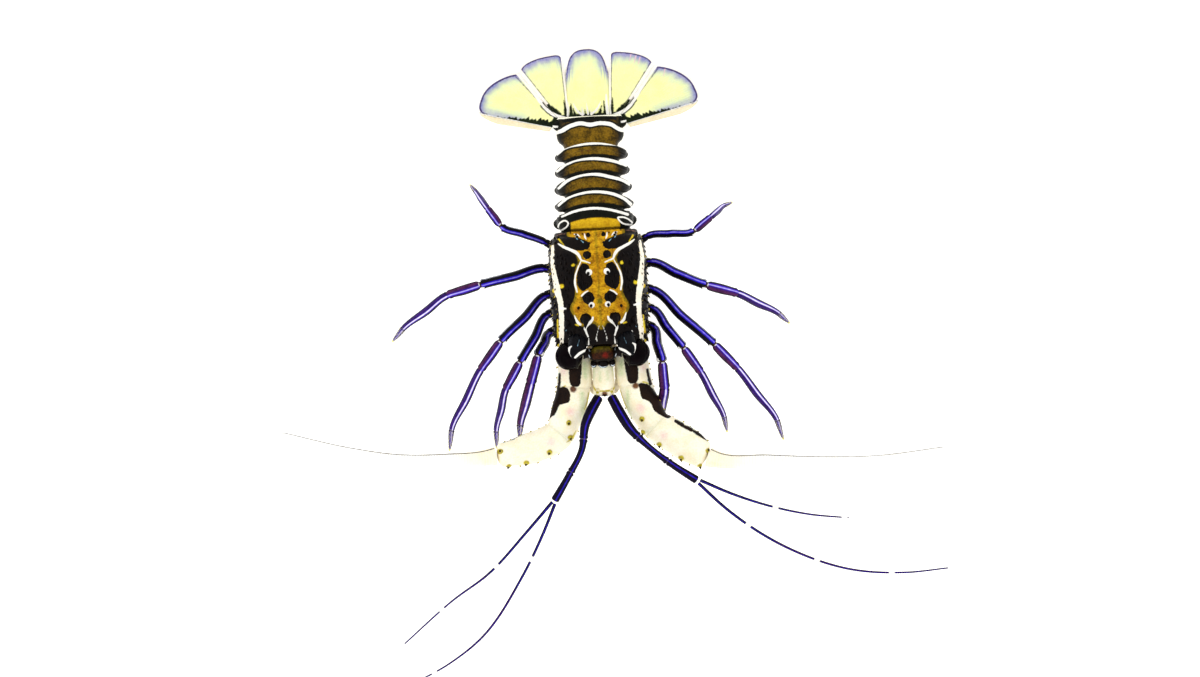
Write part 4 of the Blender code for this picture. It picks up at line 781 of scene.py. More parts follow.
def build_eyes():
    for word, side in SIDES.items():
        eye = ball(EYE_CENTRE, (EYE_RADIUS,) * 3, 70, 110)
        piece("eye_ball_" + word, [eye], EYE, ["eye_" + word], side)
    parts = []
    for side in SIDES.values():
        turn = np.linspace(0, TURN, 60, endpoint=False)
        ring = np.stack((np.full(60, 13.4 - 3.0), -3.8 + 4.75 * np.cos(turn), 28.5 + 4.75 * np.sin(turn)),
                        axis=-1)
        out = np.stack((np.zeros(60), np.cos(turn), np.sin(turn)), axis=-1)
        thick = np.linspace(0, TURN, 14, endpoint=False)
        points = (ring[:, None] + out[:, None] * (0.42 * np.cos(thick))[None, :, None]
                  + np.array((1.0, 0, 0)) * (0.5 * np.sin(thick))[None, :, None])
        cup = grid(np.concatenate((points, points[:1])), {"patch": -1.0}, caps=False)
        parts.append(turned_out(cup, side))
    bar = [(-x, y, z, wide, tall) for x, y, z, wide, tall in EYESTALK[:0:-1]] + list(EYESTALK)
    stalk = tube(route(bar, 0.3), 40, patch=-1.0)
    x, y = np.abs(stalk["points"][:, 0]), stalk["points"][:, 1]
    # Painted highlights: blue-white dashes along the black eyestalks.
    dashes = (((5.3, -1.2, 0.14), (5.0, -2.2, 0.14)), ((5.5, -3.6, 0.1), (5.1, -4.8, 0.16)),
              ((6.6, -5.0, 0.1), (7.4, -5.4, 0.12)))
    stalk["marks"]["glint"] = nearest_of(*[to_line(x, y, dash) for dash in dashes])
    parts.append(stalk)
    brow = ball((0.0, -3.3, 28.9), (4.6, 3.1, 2.5), 50, 96, 0.72)
    x, y = brow["points"][:, 0], brow["points"][:, 1]
    brow["marks"]["olive"] = -2.0 - y + 0.1 * x
    brow["marks"]["red"] = to_spot(x, y, (1.1, -4.1, 1.0))
    brow["marks"]["patch"] = nearest_of(y + 5.6, 4.3 - np.abs(x))
    lobes = (((0.1, -7.2, 26.6), (2.1, 2.0, 2.1)), ((3.7, -7.2, 26.4), (1.3, 1.7, 1.8)),
             ((-3.7, -7.2, 26.4), (1.3, 1.7, 1.8)))
    for centre, radii in lobes:
        lobe = ball(centre, radii, 24, 36, 0.85, patch=-1.0)
        x, y = lobe["points"][:, 0], lobe["points"][:, 1]
        # Painted highlights: blue-white streaks on the lobes' front edges.
        lobe["marks"]["glint"] = nearest_of(to_line(np.abs(x), y,
                                                    ((3.1, -8.1, 0.08), (3.9, -8.5, 0.2), (4.6, -8.0, 0.08))),
                                            to_line(x, y, ((-1.6, -8.2, 0.1), (-0.5, -8.9, 0.22),
                                                           (1.4, -8.6, 0.1))))
        parts.append(lobe)
    piece("eyestalks_and_brow", parts + [brow], BROW, ["eyestalks"])


def plate_marks(made):
    """Colours of the antennular plate in the plan: black behind, cream in front, with yellow lines that
    meet in a V."""
    x, y = np.abs(made["points"][:, 0]), made["points"][:, 1]
    made["marks"]["patch"] = nearest_of(-7.6 - y + 0.6 * np.cos(made["points"][:, 0] * 1.7),
                                        to_spot(x, y, (0.4, -20.4, 0.8)))
    made["marks"]["straw"] = to_line(x, y, ((4.8, -15.4, 0.25), (3.5, -17.9, 0.35), (0.0, -18.5, 0.35)))
    made["marks"]["green"] = nearest_of(to_line(x, y, ((4.1, -8.6, 0.5), (4.4, -12.6, 0.2))),
                                        to_line(x, y, ((1.4, -9.0, 0.1), (1.6, -14.0, 0.1))))
    made["marks"]["brown"] = to_spot(x, y, (0.2, -19.6, 1.0))
    return made


def build_head():
    plate = ((0.0, -0.3, 19.2, 4.1, 5.6), (0.0, -6.0, 18.8, 4.1, 5.2), (0.0, -12.0, 18.4, 4.2, 4.5),
             (0.0, -18.0, 18.0, 4.3, 3.6), (0.0, -20.5, 17.9, 4.3, 3.0))
    table = route(plate, 0.25, (0.0, 1.2))
    swell = 0.25 * np.cos(np.linspace(0, TURN, 90, endpoint=False) * 3)[None] * np.linspace(0, 1,
            len(table))[:, None]
    body = plate_marks(tube(table, 90, swell))
    knob = plate_marks(ball((0.0, -19.6, 20.9), (0.85, 1.1, 0.8), 14, 20))
    piece("antennular_shield", [body, knob], PEDUNCLE, ["antennular_plate"])
    roots = [(side * 2.6, -18.0, 20.6) for side in (1, -1)]
    horns = cones(roots, [(side * 0.3, -0.9, 0.6) for side in (1, -1)], (2.8, 2.8), (0.85, 0.85),
                  (0, -0.1, 0.2),
                  rows=8, sides=14)
    horns["marks"]["straw_ring"] = np.abs(horns["marks"]["tip"] - 0.45) - 0.15
    horns["marks"]["dark_tip"] = 0.75 - horns["marks"]["tip"]
    piece("antennular_spines", [horns], PALE_SPINE, ["antennular_plate"])
    mouth = ((0.0, 4.2, 10.8, 3.9, 2.6), (0.0, -3.0, 10.4, 4.3, 2.0), (0.0, -10.0, 10.6, 3.4, 1.3))
    jaw = ((2.6, 1.6, 10.2, 1.7, 1.6), (5.4, -3.6, 8.8, 1.8, 1.6), (6.0, -10.0, 8.2, 1.6, 1.4),
           (5.4, -15.5, 7.2, 1.2, 1.1), (4.6, -18.6, 5.0, 0.9, 0.8), (3.6, -19.4, 2.4, 0.5, 0.5))
    parts = [tube(route(mouth, 0.5, (0.5, 1.2)), 40, patch=FAR)]
    for side in (1, -1):
        table = route(jaw, 0.35, (0.6, 0.5))
        knots = -0.28 * np.exp(-((lengths(table)[:, None] - np.array((5.5, 11.5,
                16.5))) / 0.5) ** 2).sum(axis=1)
        limb = tube(table, 26, knots[:, None])
        limb["marks"]["patch"] = np.where((limb["marks"]["turn"] > 20) & (limb["marks"]["turn"] < 160), 0.2,
                                          FAR)
        parts.append(turned_out(limb, side))
        hair = table[8:-8:3]
        count = len(hair)
        for spread in (-0.5, 0.1, 0.7):
            roots = hair[:, :3] - np.array((0.7, 0.0, 0.3))
            ways = np.stack((np.full(count, -1.0), DRAW.uniform(-0.4, 0.2, count), spread - 0.5
                             + DRAW.uniform(-0.2, 0.2, count)), axis=-1)
            tuft = cones(roots, ways, DRAW.uniform(0.9, 1.6, count), np.full(count, 0.07), rows=3, sides=4)
            parts.append(turned_out(tuft, side))
    piece("jaw_feet", parts, UNDERSIDE, ["mouthparts"])


# Antennae

ANTENNA_STRIP = ((8.2, -5.0), (13.9, -5.0), (13.8, -9.0), (13.9, -12.0), (13.6, -15.4), (11.6, -16.2),
                 (9.5, -15.8),
                 (9.1, -12.0), (8.6, -9.0))
ANTENNA_SADDLE = {
    "right": ((17.8, -15.6), (14.8, -16.0), (13.6, -18.4), (14.2, -22.4), (17.3, -22.6), (18.8, -23.4),
              (20.2, -26.8),
              (22.6, -28.0), (23.2, -30.0), (26.0, -31.0), (27.4, -29.8), (25.9, -26.6), (23.6,
                      -23.6), (21.6, -19.6)),
    "left": ((13.2, -15.8), (17.4, -16.4), (19.2, -18.4), (21.8, -22.2), (24.2, -26.0), (26.8, -29.8),
             (24.4, -31.0),
             (22.0, -29.4), (19.0, -27.3), (18.3, -24.2), (16.6, -23.0), (14.4, -22.2), (14.2, -19.0)),
}
# Dark strips along the hind edge of the stalk: X, Y and half width
ANTENNA_EDGE = {
    "right": (((26.9, -29.6, 0.7), (28.6, -30.8, 0.8), (32.3, -32.4, 0.9)),
              ((33.2, -32.9, 0.8), (36.8, -34.4, 0.95)),
              ((37.6, -34.8, 0.9), (41.1, -35.7, 0.9), (43.4, -36.2, 0.6), (45.4, -37.2, 0.25))),
    "left": (((27.7, -32.0, 0.65), (30.4, -33.8, 0.8)), ((31.2, -34.4, 0.7), (33.7, -35.8, 0.8)),
             ((34.7, -36.4, 0.5), (38.7, -38.9, 0.95), (41.6, -40.2, 0.9), (44.0, -40.7, 0.3))),
}
ANTENNA_SPOTS = {
    "right": ((15.0, -30.3), (14.7, -36.2), (23.3, -41.6), (32.8, -45.4), (39.8, -46.6), (43.2, -40.2)),
    "left": ((14.3, -30.4), (14.2, -35.9), (20.6, -41.1), (29.1, -46.9), (36.4, -50.6), (40.0, -44.5)),
}


def antenna_marks(made, word, step):
    """Dark saddles on the hind edge, brown and green tints, and straw rings round the spine roots, in the
    plan."""
    x, y, z = made["points"].T
    above = z > 16.5
    dark = nearest_of(to_patch(x, y, ANTENNA_STRIP), to_patch(x, y, ANTENNA_SADDLE[word]),
                      to_line(x, y, ((17.5, -10.8, 0.5), (17.8, -13.2, 0.55), (18.5, -16.6, 0.65))),
                      *[to_line(x, y, strip) for strip in ANTENNA_EDGE[word]])
    marks = made["marks"]
    marks["patch"] = np.where(above, dark, FAR)
    edge = ANTENNA_SADDLE[word]
    marks["brown"] = np.where(above, nearest_of(
        to_spot(x, y, (12.5, -17.0, 1.3)), to_line(x, y, ((20.4, -19.0, 0.4), (23.4, -23.6, 0.5),
                                                          (26.0, -28.6, 0.3)))), FAR)
    seam = marks["left"] - 0.2 if step == 0 else marks["along"] - 0.2
    marks["green"] = nearest_of(to_line(x, y, ((9.2, -19.0, 0.5), (8.9, -24.8, 0.6), (9.6, -30.0, 0.2))),
                                to_line(x, y, ((7.4, -7.0, 0.9), (7.2, -12.0, 0.7))), seam + 0.6)
    marks["blush"] = nearest_of(to_spot(x, y, (14.0, -26.0, 1.6)), to_spot(x, y, (22.6, -37.5, 1.4)),
                                to_spot(x, y, (16.0, -9.8, 1.1)))
    rings = nearest_of(*[to_spot(x, y, spot + (1.1,)) for spot in ANTENNA_SPOTS[word]])
    rims = nearest_of(to_line(x, y, ((6.4, -18.6, 0.15), (7.2, -22.6, 0.35), (8.6, -25.6, 0.15))),
                      to_line(x, y, ((12.3, -33.6, 0.15), (14.2, -36.8, 0.4), (16.2, -38.0, 0.15))),
                      to_line(x, y, (edge[-1] + (0.1,), (edge[-1][0] + 0.9, edge[-1][1] - 1.6, 0.2))),
                      to_line(x, y, ((15.6, -15.6, 0.3), (18.3, -16.7, 0.3))))
    marks["straw"] = np.where(above, nearest_of(rings, rims), FAR)
    marks["teal"] = np.where(above, np.abs(dark - 0.12) - 0.06 + 0.25 * (np.sin(x * 1.9 + y) > 0.2), FAR)
    return made


def build_antennae():
    for word, side in SIDES.items():
        for step, name in enumerate(("base", "stalk")):
            near = (None, ANTENNA[word][1][1]) if step == 0 else (ANTENNA[word][0][-2], ANTENNA[word][2][1])
            table = route(ANTENNA[word][step], 0.3, (0.0, 0.0) if step == 0 else (0.0, 1.8), *near)
            at = lengths(table)
            turn = np.linspace(0, TURN, 120, endpoint=False)
            swell = 0.16 * np.sin(at[:, None] * 0.55) * np.cos(turn[None] * 2 + 0.6)
            if step == 0:
                swell = swell - 0.45 * np.exp(-((at[:, None] - 15.6) / 0.5) ** 2)
            parts = [antenna_marks(tube(table, 120, swell), word, step)]
            if step == 0:
                parts.append(antenna_marks(joint_plug(word), word, step))
            node = "antenna_%s_%s" % (name, word)
            piece("feeler_%s_%s" % (name, word), parts, PEDUNCLE, [node], side)
            piece("feeler_%s_spines_%s" % (name, word), [peduncle_spines(table, word)], PALE_SPINE, [node],
                  side)
        build_flagellum(word, side)


def joint_plug(word):
    """Short tube inside the joint of base and stalk, a little thinner than both, so that no gap shows."""
    whole = np.array(ANTENNA[word][0] + ANTENNA[word][1][1:])
    at = lengths(whole)
    middle = at[len(ANTENNA[word][0]) - 1]
    table = curve(at, whole, np.linspace(middle - 1.2, middle + 1.2, 9))
    table[:, 3:5] *= 0.985
    return tube(table, 120)


def peduncle_spines(table, word):
    """Spines on the named spots that lie over this joint, and short rows along its front and hind edges."""
    path = table[:, :3]
    way, across, up = frames(path)
    roots, ways, sizes = [], [], []
    for x, y in ANTENNA_SPOTS[word]:
        k = int(np.argmin(np.hypot(path[:, 0] - x, path[:, 1] - y)))
        off = (x - path[k, 0]) * across[k, 0] + (y - path[k, 1]) * across[k, 1]
        if abs(off) > table[k, 3] * 1.25 or k in (0, len(path) - 1):
            continue
        level = np.clip(off / table[k, 3], -0.92, 0.92)
        rise = math.sqrt(1 - level ** 2)
        roots.append(path[k] + across[k] * table[k, 3] * level + up[k] * table[k, 4] * rise * 0.97)
        ways.append(across[k] * level + up[k] * rise * 1.2 + way[k] * 0.7)
        sizes.append((1.7, 0.95))
    for turn in (4, 176):
        for k in range(12, len(path) - 8, 13):
            k = k + int(DRAW.integers(-3, 4))
            angle = math.radians(turn + DRAW.uniform(-8, 8))
            root = path[k] + across[k] * table[k, 3] * math.cos(angle) + up[k] * table[k, 4] * math.sin(angle)
            if root[0] < 8.0:
                continue
            roots.append(root)
            ways.append(across[k] * math.cos(angle) + up[k] * math.sin(angle) + way[k] * 0.9)
            tall = DRAW.uniform(0.5, 0.9)
            sizes.append((tall, 0.25 + 0.2 * tall))
    sizes = np.array(sizes)
    made = cones(roots, ways, sizes[:, 0], sizes[:, 1], (0, -0.1, 0.1), rows=6, sides=10)
    made["marks"]["straw_ring"] = np.abs(made["marks"]["tip"] - 0.2) - 0.25
    made["marks"]["dark_tip"] = 0.42 - made["marks"]["tip"]
    return made


def build_flagellum(word, side):
    """Antenna whip: a tapering tube with a shallow ring every 1.1 mm and painted shade, a dark line, on its hind
    edge.
    """
    table = route(ANTENNA[word][2], 0.275, (0.4, 0.3), before=ANTENNA[word][1][-2])
    at = lengths(table)
    swell = -0.09 * np.exp(-(((at + WHIP_RING / 2) % WHIP_RING - WHIP_RING / 2) / 0.16) ** 2)[:,
            None] * np.linspace(1, 0.3, len(at))[:, None]
    made = tube(table, 22, swell)
    turn, girth = made["marks"]["turn"], np.interp(made["marks"]["along"], at, table[:, 3])
    along = made["marks"]["along"]
    # hind: painted shade, a dark line down the whip's hind side.
    made["marks"]["hind"] = np.radians(np.abs(turn - 150)) * girth - np.interp(along, (0, 25, 60),
            (0.42, 0.34, 0.24))
    made["marks"]["front"] = np.maximum(np.radians(np.abs(turn - 24)) * girth - 0.16, along - 26.0)
    made["marks"]["cream"] = along - 14.0
    made["marks"]["rings"] = np.abs((along + WHIP_RING / 2) % WHIP_RING - WHIP_RING / 2) - 0.14
    piece("feeler_whip_" + word, [made], FLAGELLUM, ["antenna_flagellum_" + word], side)


def build_antennules():
    """Antennules: jointed stalk with a blue stripe, then two ringed whips with white bands."""
    bands = {("right", "outer"): (34.0, 62.0, 96.0), ("right", "inner"): (24.0, 86.0, 108.0),
             ("left", "outer"): (32.0, 60.0), ("left", "inner"): (26.0, 57.0, 88.0)}
    for word, side in SIDES.items():
        table = route(ANTENNULE_STALK[word], 0.25, (0.5, 0.7))
        at = lengths(table)
        joints = np.array((at[-1] * 0.42, at[-1] * 0.72))
        near = np.abs(at[:, None] - joints).min(axis=1)
        swell = (0.28 * np.exp(-((near - 0.7) / 0.5) ** 2) - 0.25 * np.exp(-(near / 0.3) ** 2))[:, None]
        made = tube(table, 30, swell)
        turn = made["marks"]["turn"]
        made["marks"]["violet"] = np.radians(np.abs(turn - 90 - 12 * side)) * 1.6 - 0.22
        spread = np.abs(made["marks"]["along"][:, None] - joints).min(axis=1)
        made["marks"]["joint"] = spread - 0.14
        piece("feelerlet_stalk_" + word, [made], FEELER, ["antennule_stalk_" + word], side)
        for place in ("outer", "inner"):
            stations = np.array(ANTENNULE_FLAGELLA[word, place])
            thick = np.linspace(*FLAGELLUM_THICK, len(stations))[:, None]
            table = route(np.hstack((stations, thick, thick)), 0.2, (0.3, 0.3))
            at = lengths(table)
            swell = (-0.06 * np.exp(-(((at + FEELER_RING / 2) % FEELER_RING - FEELER_RING / 2) / 0.12) ** 2))[:, None]
            made = tube(table, 14, swell)
            along, turn = made["marks"]["along"], made["marks"]["turn"]
            made["marks"]["violet"] = np.radians(np.abs(turn - 80)) * 0.7 - 0.12
            made["marks"]["plum"] = 38.0 - along
            made["marks"]["white"] = np.min([np.abs(along - band) for band in bands[word, place]],
                                            axis=0) - 1.2
            node = "antennule_%s_%s" % (place, word)
            piece("feelerlet_%s_%s" % (place, word), [made], FEELER, [node], side)


# Legs

def leg_tables(word, number):
    """Rows of the three shown lengths of a leg, as in the part's source but with the wrist's pinch."""
    girth, high = LEG_GIRTH[number], KNEE_Z[number]
    knee, wrist, ankle, foot = [np.array(spot) for spot in LEG_POSE[word, number]]
    hip = np.array((HIP_X + 0.3, HIP_Y[number], HIP_Z, girth, girth))
    shoulder = np.array((SHOULDER_X, SHOULDER_Y[number], HIP_Z + 1.0, girth * 0.95, girth))
    thigh = np.array((*((shoulder[:2] + knee) / 2), (HIP_Z + high) * 0.52, girth, girth * 1.2))
    top = np.array((*knee, high, girth * 0.95, girth * 1.05))
    wrist_z = high * 0.86
    carpus = np.array((*(knee * 0.5 + wrist * 0.5), (high + wrist_z) / 2 + 0.5, girth * 1.02, girth * 1.02))
    broad = 1.2 if number == 1 else 1.0
    bend = np.array((*wrist, wrist_z, girth * 0.84 * broad, girth * 0.78))
    shin = np.array((*(wrist * 0.5 + ankle * 0.5), high * 0.56, girth * 0.86 * broad, girth * 0.8))
    end = np.array((*ankle, high * 0.24, girth * 0.62 * broad, girth * 0.56))
    claw = np.array((*(ankle * 0.45 + foot * 0.55), high * 0.1, girth * 0.44, girth * 0.42))
    toe = np.array((*foot, 0.35, 0.3, 0.3))
    return (hip, shoulder, thigh, top), (top, carpus, bend, shin, end), (end, claw, toe)


def stripe(made, girth, middle, wide):
    """Distance in mm from a stripe `wide` degrees across, centred at `middle` degrees round a limb."""
    return (np.abs(made["marks"]["turn"] - middle) - wide / 2) * math.radians(1) * girth


def build_legs():
    for (word, number) in LEG_POSE:
        side, girth = SIDES[word], LEG_GIRTH[number]
        upper, lower, claw = leg_tables(word, number)
        label = "leg_%d_%s_" % (number, word)

        table = route(upper, 0.4, (0.6, 0.35), after=lower[1])
        at = lengths(table)
        collar = 0.22 * np.exp(-((at[-1] - at - 0.9) / 0.55) ** 2) - 0.3 * np.exp(-((at - 7.2) / 0.4) ** 2)
        made = tube(table, 36, collar[:, None])
        marks = made["marks"]
        inner = np.where(marks["along"] < 8.5, 8.5 - marks["along"], 0)
        line = 90 + 16 * side
        marks["blue"] = stripe(made, girth, line, 36) + inner * 0.2
        marks["pale"] = stripe(made, girth, line, 9) + inner * 0.2
        marks["teal"] = stripe(made, girth, 14, 10)
        # Painted highlight: a grey sheen down one side of the thigh near the knee.
        marks["grey"] = stripe(made, girth, 150, 9) + np.maximum(marks["left"] - 9, 0) * 0.3
        marks["white"] = np.maximum(stripe(made, girth, 30, 40), marks["left"] - 0.9)
        marks["belly"] = stripe(made, girth, 268, 90)
        piece(label + "thigh", [made], LEG, [label + "upper"], side)

        table = route(lower, 0.35, (0.5, 0.3), upper[-2], claw[1])
        at = lengths(table)
        wrist_at = lengths(np.array(lower))[2]
        pinch = (-0.22 * np.exp(-((at - wrist_at) / 0.45) ** 2) + 0.16 * np.exp(-((at - wrist_at + 1.1) / 0.7) ** 2)
                 - 0.5 * np.exp(-(at / 0.9) ** 2))
        made = tube(table, 32, pinch[:, None])
        marks = made["marks"]
        past = marks["along"] - wrist_at
        broad = np.where(past < 0, girth, girth * 0.85)
        marks["plum"] = np.where((past < 0) | (number == 1), stripe(made, broad, 90 - 44 * side, 60), FAR)
        marks["blue"] = stripe(made, broad, line + 2 * side, 30)
        marks["pale"] = stripe(made, broad, line, np.where(past < 0, 11, 19))
        marks["dark"] = nearest_of(stripe(made, broad, 90 - 80 * side, 64),
                                   stripe(made, broad, 90 + 80 * side, 68),
                                   np.abs(past) - 0.15)
        marks["white"] = nearest_of(marks["left"] - 0.3, np.maximum(stripe(made, girth, 100, 50),
                marks["along"] - 0.5))
        marks["belly"] = stripe(made, girth, 268, 80)
        piece(label + "shin", [made], LOWER_LEG, [label + "lower"], side)

        table = route(claw, 0.25, (0.3, 0.2), before=lower[-2])
        made = tube(table, 24)
        marks = made["marks"]
        marks["pale"] = stripe(made, girth * 0.6, line, 26)
        marks["dark"] = nearest_of(stripe(made, girth * 0.6, 25, 40), stripe(made, girth * 0.6, 155, 40))
        marks["straw"] = marks["left"] - 1.2
        hair = table[6:-10:2]
        parts = [made]
        for turn in range(0, 360, 60):
            angle = math.radians(turn) + DRAW.uniform(-0.4, 0.4, len(hair))
            way, across, up = frames(hair[:, :3])
            out = across * np.cos(angle)[:, None] + up * np.sin(angle)[:, None]
            tuft = cones(hair[:, :3] + out * hair[:, 3:4] * 0.9, out + way * 1.6,
                         DRAW.uniform(0.5, 1.0, len(hair)), np.full(len(hair), 0.06), rows=2, sides=4,
                         straw=-1.0, dark=FAR, pale=FAR)
            tuft["points"][:, 2] = np.maximum(tuft["points"][:, 2], 0.1)
            parts.append(tuft)
        piece(label + "claw", parts, DACTYL, [label + "dactyl"], side)

        parts = []
        for end, size in ((upper[-1], 0.62), (lower[-1], 0.6)):
            parts.append(ball(end[:3], end[3:4].repeat(3) * size * (1.05, 1.05, 1.0), 14, 20))
        piece(label + "joint_skin", parts, MEMBRANE, [label + "upper", label + "lower"], side)


# Underside

def build_sternum():
    """Breastplate widening to the rear, with a ridge and a rounded coxa for each leg."""
    middle = 11.1
    plate = ((0.0, 4.6, middle, 4.0, 4.1), (0.0, 14.0, middle, 6.4, 4.1), (0.0, 28.0, middle, 8.6, 4.1),
             (0.0, 42.0, middle, 9.6, 4.1), (0.0, 45.4, middle, 8.0, 4.0))
    table = route(plate, 0.5, (1.5, 1.5))
    at = lengths(table)
    swell = -0.35 * np.exp(-(((at - 3.4) % 7.6 - 3.8) / 0.7) ** 2)
    parts = [tube(table, 72, swell[:, None], patch=FAR)]
    for number, y in HIP_Y.items():
        girth = LEG_GIRTH[number] + 1.0
        coxa = ((3.0, y, 10.6, girth, girth), (9.0, y, 10.0, girth, girth),
                (HIP_X, y, HIP_Z, girth * 0.9, girth * 0.9))
        for side in (1, -1):
            table = route(coxa, 0.35, (0.5, 0.8))
            at = lengths(table)
            swell = -0.3 * np.exp(-((at - 7.4) / 0.4) ** 2) + 0.15 * np.exp(-((at - 9.8) / 0.6) ** 2)
            made = tube(table, 36, swell[:, None])
            made["marks"]["patch"] = np.where(made["marks"]["turn"] < 180,
                                              3.5 - made["marks"]["along"] * 0.5, FAR)
            parts.append(turned_out(made, side))
    piece("breastplate_and_hips", parts, UNDERSIDE, ["sternum"])


# Abdomen

# White bands of the rings in the plan, from the animal's right side to its left
RING_BANDS = {
    1: ((-13.1, 52.0), (-8.0, 53.7), (0.1, 54.5), (7.6, 53.2), (13.1, 51.4)),
    2: ((-14.2, 56.6), (-10.2, 59.5), (-5.2, 60.8), (1.7, 61.1), (7.9, 59.8), (12.2, 57.7), (15.2, 55.0)),
    3: ((-13.8, 63.5), (-9.9, 66.4), (-4.8, 68.0), (0.9, 68.2), (7.1, 66.7), (12.0, 65.2), (14.4, 63.8)),
    4: ((-14.0, 70.4), (-9.5, 73.3), (-4.4, 74.5), (1.2, 74.5), (6.8, 73.6), (11.7, 72.1), (13.6, 71.4)),
    5: ((-13.6, 77.3), (-10.4, 79.6), (-5.3, 80.5), (1.6, 80.8), (7.8, 80.2), (11.7, 79.7), (14.9, 79.3)),
    6: ((-13.8, 86.0), (-11.9, 86.5), (-7.4, 88.5), (-3.6, 89.2), (0.1, 88.4), (3.9, 88.8), (8.3, 88.2),
        (12.5, 85.8),
        (14.4, 85.7)),
}
BAND_HALF = {1: 0.5, 2: 0.62, 3: 0.64, 4: 0.62, 5: 0.62, 6: 0.8}
LOBES = {
    -1: ((-15.3, 47.9), (-14.5, 49.8), (-12.0, 50.9), (-10.2, 49.5), (-10.9, 47.7), (-13.5, 46.3),
         (-16.0, 45.8)),
    1: ((8.7, 50.3), (9.6, 50.9), (13.0, 50.4), (16.0, 47.4), (14.1, 46.9), (11.0, 47.4), (9.2, 49.1)),
}


def bow(y):
    """How far the rings' sides are drawn forward at each Y, in mm at FLANK_X."""
    return np.interp(y, FLANK_BOW[:, 0], FLANK_BOW[:, 1])


def ring_marks(x, y, number, front, rear, top):
    """Bands of one tail ring in the plan; front and rear are the distances to its edges."""
    ax = np.abs(x)
    stations = np.array(RING_BANDS[number])
    wide = np.full((len(stations), 1), BAND_HALF[number])
    wide[0] *= 0.75
    wide[-1] *= 1.3 if number == 5 else 1.1
    band = to_line(x, y, np.hstack((stations, wide)))
    marks = {
        "white": band,
        "patch": nearest_of(band - 0.7, rear - 0.3, front - 0.7 - 0.04 * ax),
        "shade": (9.8 - ax) * 0.9,
        "ember": nearest_of(to_spot(ax, y, (4.0, stations[2, 1] - 3.4, 0.8)),
                            to_spot(x, y, (-1.0, stations[2, 1] - 2.4, 0.6))),
        "gold": np.full_like(x, FAR),
    }
    if number == 1:
        shape = nearest_of(to_patch(x, y, LOBES[-1]), to_patch(x, y, LOBES[1]))
        marks["gold"] = np.maximum(np.maximum(46.8 - y, y - 50.8 + 0.0142 * x ** 2), ax - 10.0)
        marks["white"] = nearest_of(band, np.abs(shape + 0.3) - 0.3)
        marks["patch"] = nearest_of(shape, np.where(y > 53.0, marks["patch"], FAR),
                                    50.8 - 0.0142 * x ** 2 - y,
                                    9.8 - ax)
    if number == 6:
        marks["patch"] = nearest_of(band - 0.7, np.maximum(89.9 - y, ax - 11.0), ax * -1.0 + 12.0)
        marks["ember"] = np.maximum(np.abs(y - 90.9) - 1.0, ax - 9.0)
    for name in marks:
        marks[name] = np.where(top, marks[name], FAR)
    marks["below"] = np.where(top, FAR, -1.0)
    return marks


def tail_ring(number):
    """Skin of one ring: a dark collar under the ring before it, flanks pinched in front, and a lip behind."""
    start = ABDOMEN_JOINTS[number - 1] + (RING_GAP if number > 1 else 0.0)
    end = ABDOMEN_JOINTS[number]
    share = np.concatenate(((-1.6 / (end - start), -1.0 / (end - start), -0.5 / (end - start)),
                            np.linspace(0, 1, 54)))
    y = start + (end - start) * share
    row = curve(ABDOMEN[:, 0], ABDOMEN, y)
    scale = np.interp(share, (-0.2, 0, 0.1, 0.25, 0.4, 0.86, 1.0), (0.93, 0.95, 0.965, 0.99, 1.0, 1.0, 0.99))
    pinch = (JOINT_PINCH[number - 1] * np.interp(share, (0, 0.1, 0.25, 0.4, 0.6), (1, 0.9, 0.5, 0.25, 0))
             + JOINT_PINCH[number] * np.interp(share, (0.8, 0.93, 1.0), (0, 0.05, 0.4)))
    table = np.hstack((y[:, None], row[:, 1:]))
    table[:, 1] *= scale
    table[:, 2] -= (1 - scale) * 14
    points = trunk(table, y, 210, row[:, 4:5] + ABDOMEN_FLOOR_RISE)
    rear = end - points[:, :, 1]
    out = normals(points)
    top = np.broadcast_to(np.arange(points.shape[1])[None] < 210, points.shape[:2]) & (
        points[:, :, 2] > row[:, 3:4] - 1.5)
    lift = 0.14 * np.exp(-((rear - 0.6) / 0.5) ** 2)
    lift -= 0.5 * (1 - np.sqrt(1 - np.clip(1 - rear / 0.5, 0, 1) ** 2))
    lift -= 0.16 * np.exp(-((rear - 2.6) / 0.35) ** 2) * (number < 6)
    points = points + out * (lift * top)[:, :, None]
    outward = np.abs(points[:, :, 0]) / np.abs(points[:, :, 0]).max(axis=1, keepdims=True)
    points[:, :, 0] *= 1 - pinch[:, None] * outward ** 3
    points[:, :, 1] -= bow(points[:, :, 1]) * (points[:, :, 0] / FLANK_X) ** 2
    front = (end - start) - rear
    return grid(points, ring_marks(points[:, :, 0], points[:, :, 1], number, front, rear, top)), start, end


def plain_coats(made, **values):
    """Gives a small part of a ring every coat: FAR, unless a value is named."""
    for name in ("white", "patch", "shade", "ember", "gold", "below"):
        made["marks"][name] = np.broadcast_to(values.get(name, FAR), len(made["points"]))
    return made


def side_flap(start, end):
    """Pointed side lobe of a ring: a flattened tube that sweeps down, in under the flank and back."""
    length = end - start
    y = start + length * 0.62
    _, half, _, wide, edge = curve(ABDOMEN[:, 0], ABDOMEN, np.array((y,)))[0]
    y -= bow(y) * 0.8
    path = ((half - 2.3, y, wide - 0.6, length * 0.34, 1.3),
            (half - 1.0, y + 0.2, (wide + edge) / 2 - 0.8, length * 0.3, 1.1),
            (half - 0.7, y + length * 0.14, edge - 1.2, 0.9, 0.6), (half - 0.6, y + length * 0.24,
                    edge - 2.2, 0.2, 0.2))
    made = tube(route(path, 0.25, (0.3, 0.1)), 26)
    return plain_coats(made, patch=-1.0,
                       white=np.abs(made["marks"]["turn"] - 175) * 0.03 + np.abs(made["marks"]["left"] - 2.5) - 0.9)


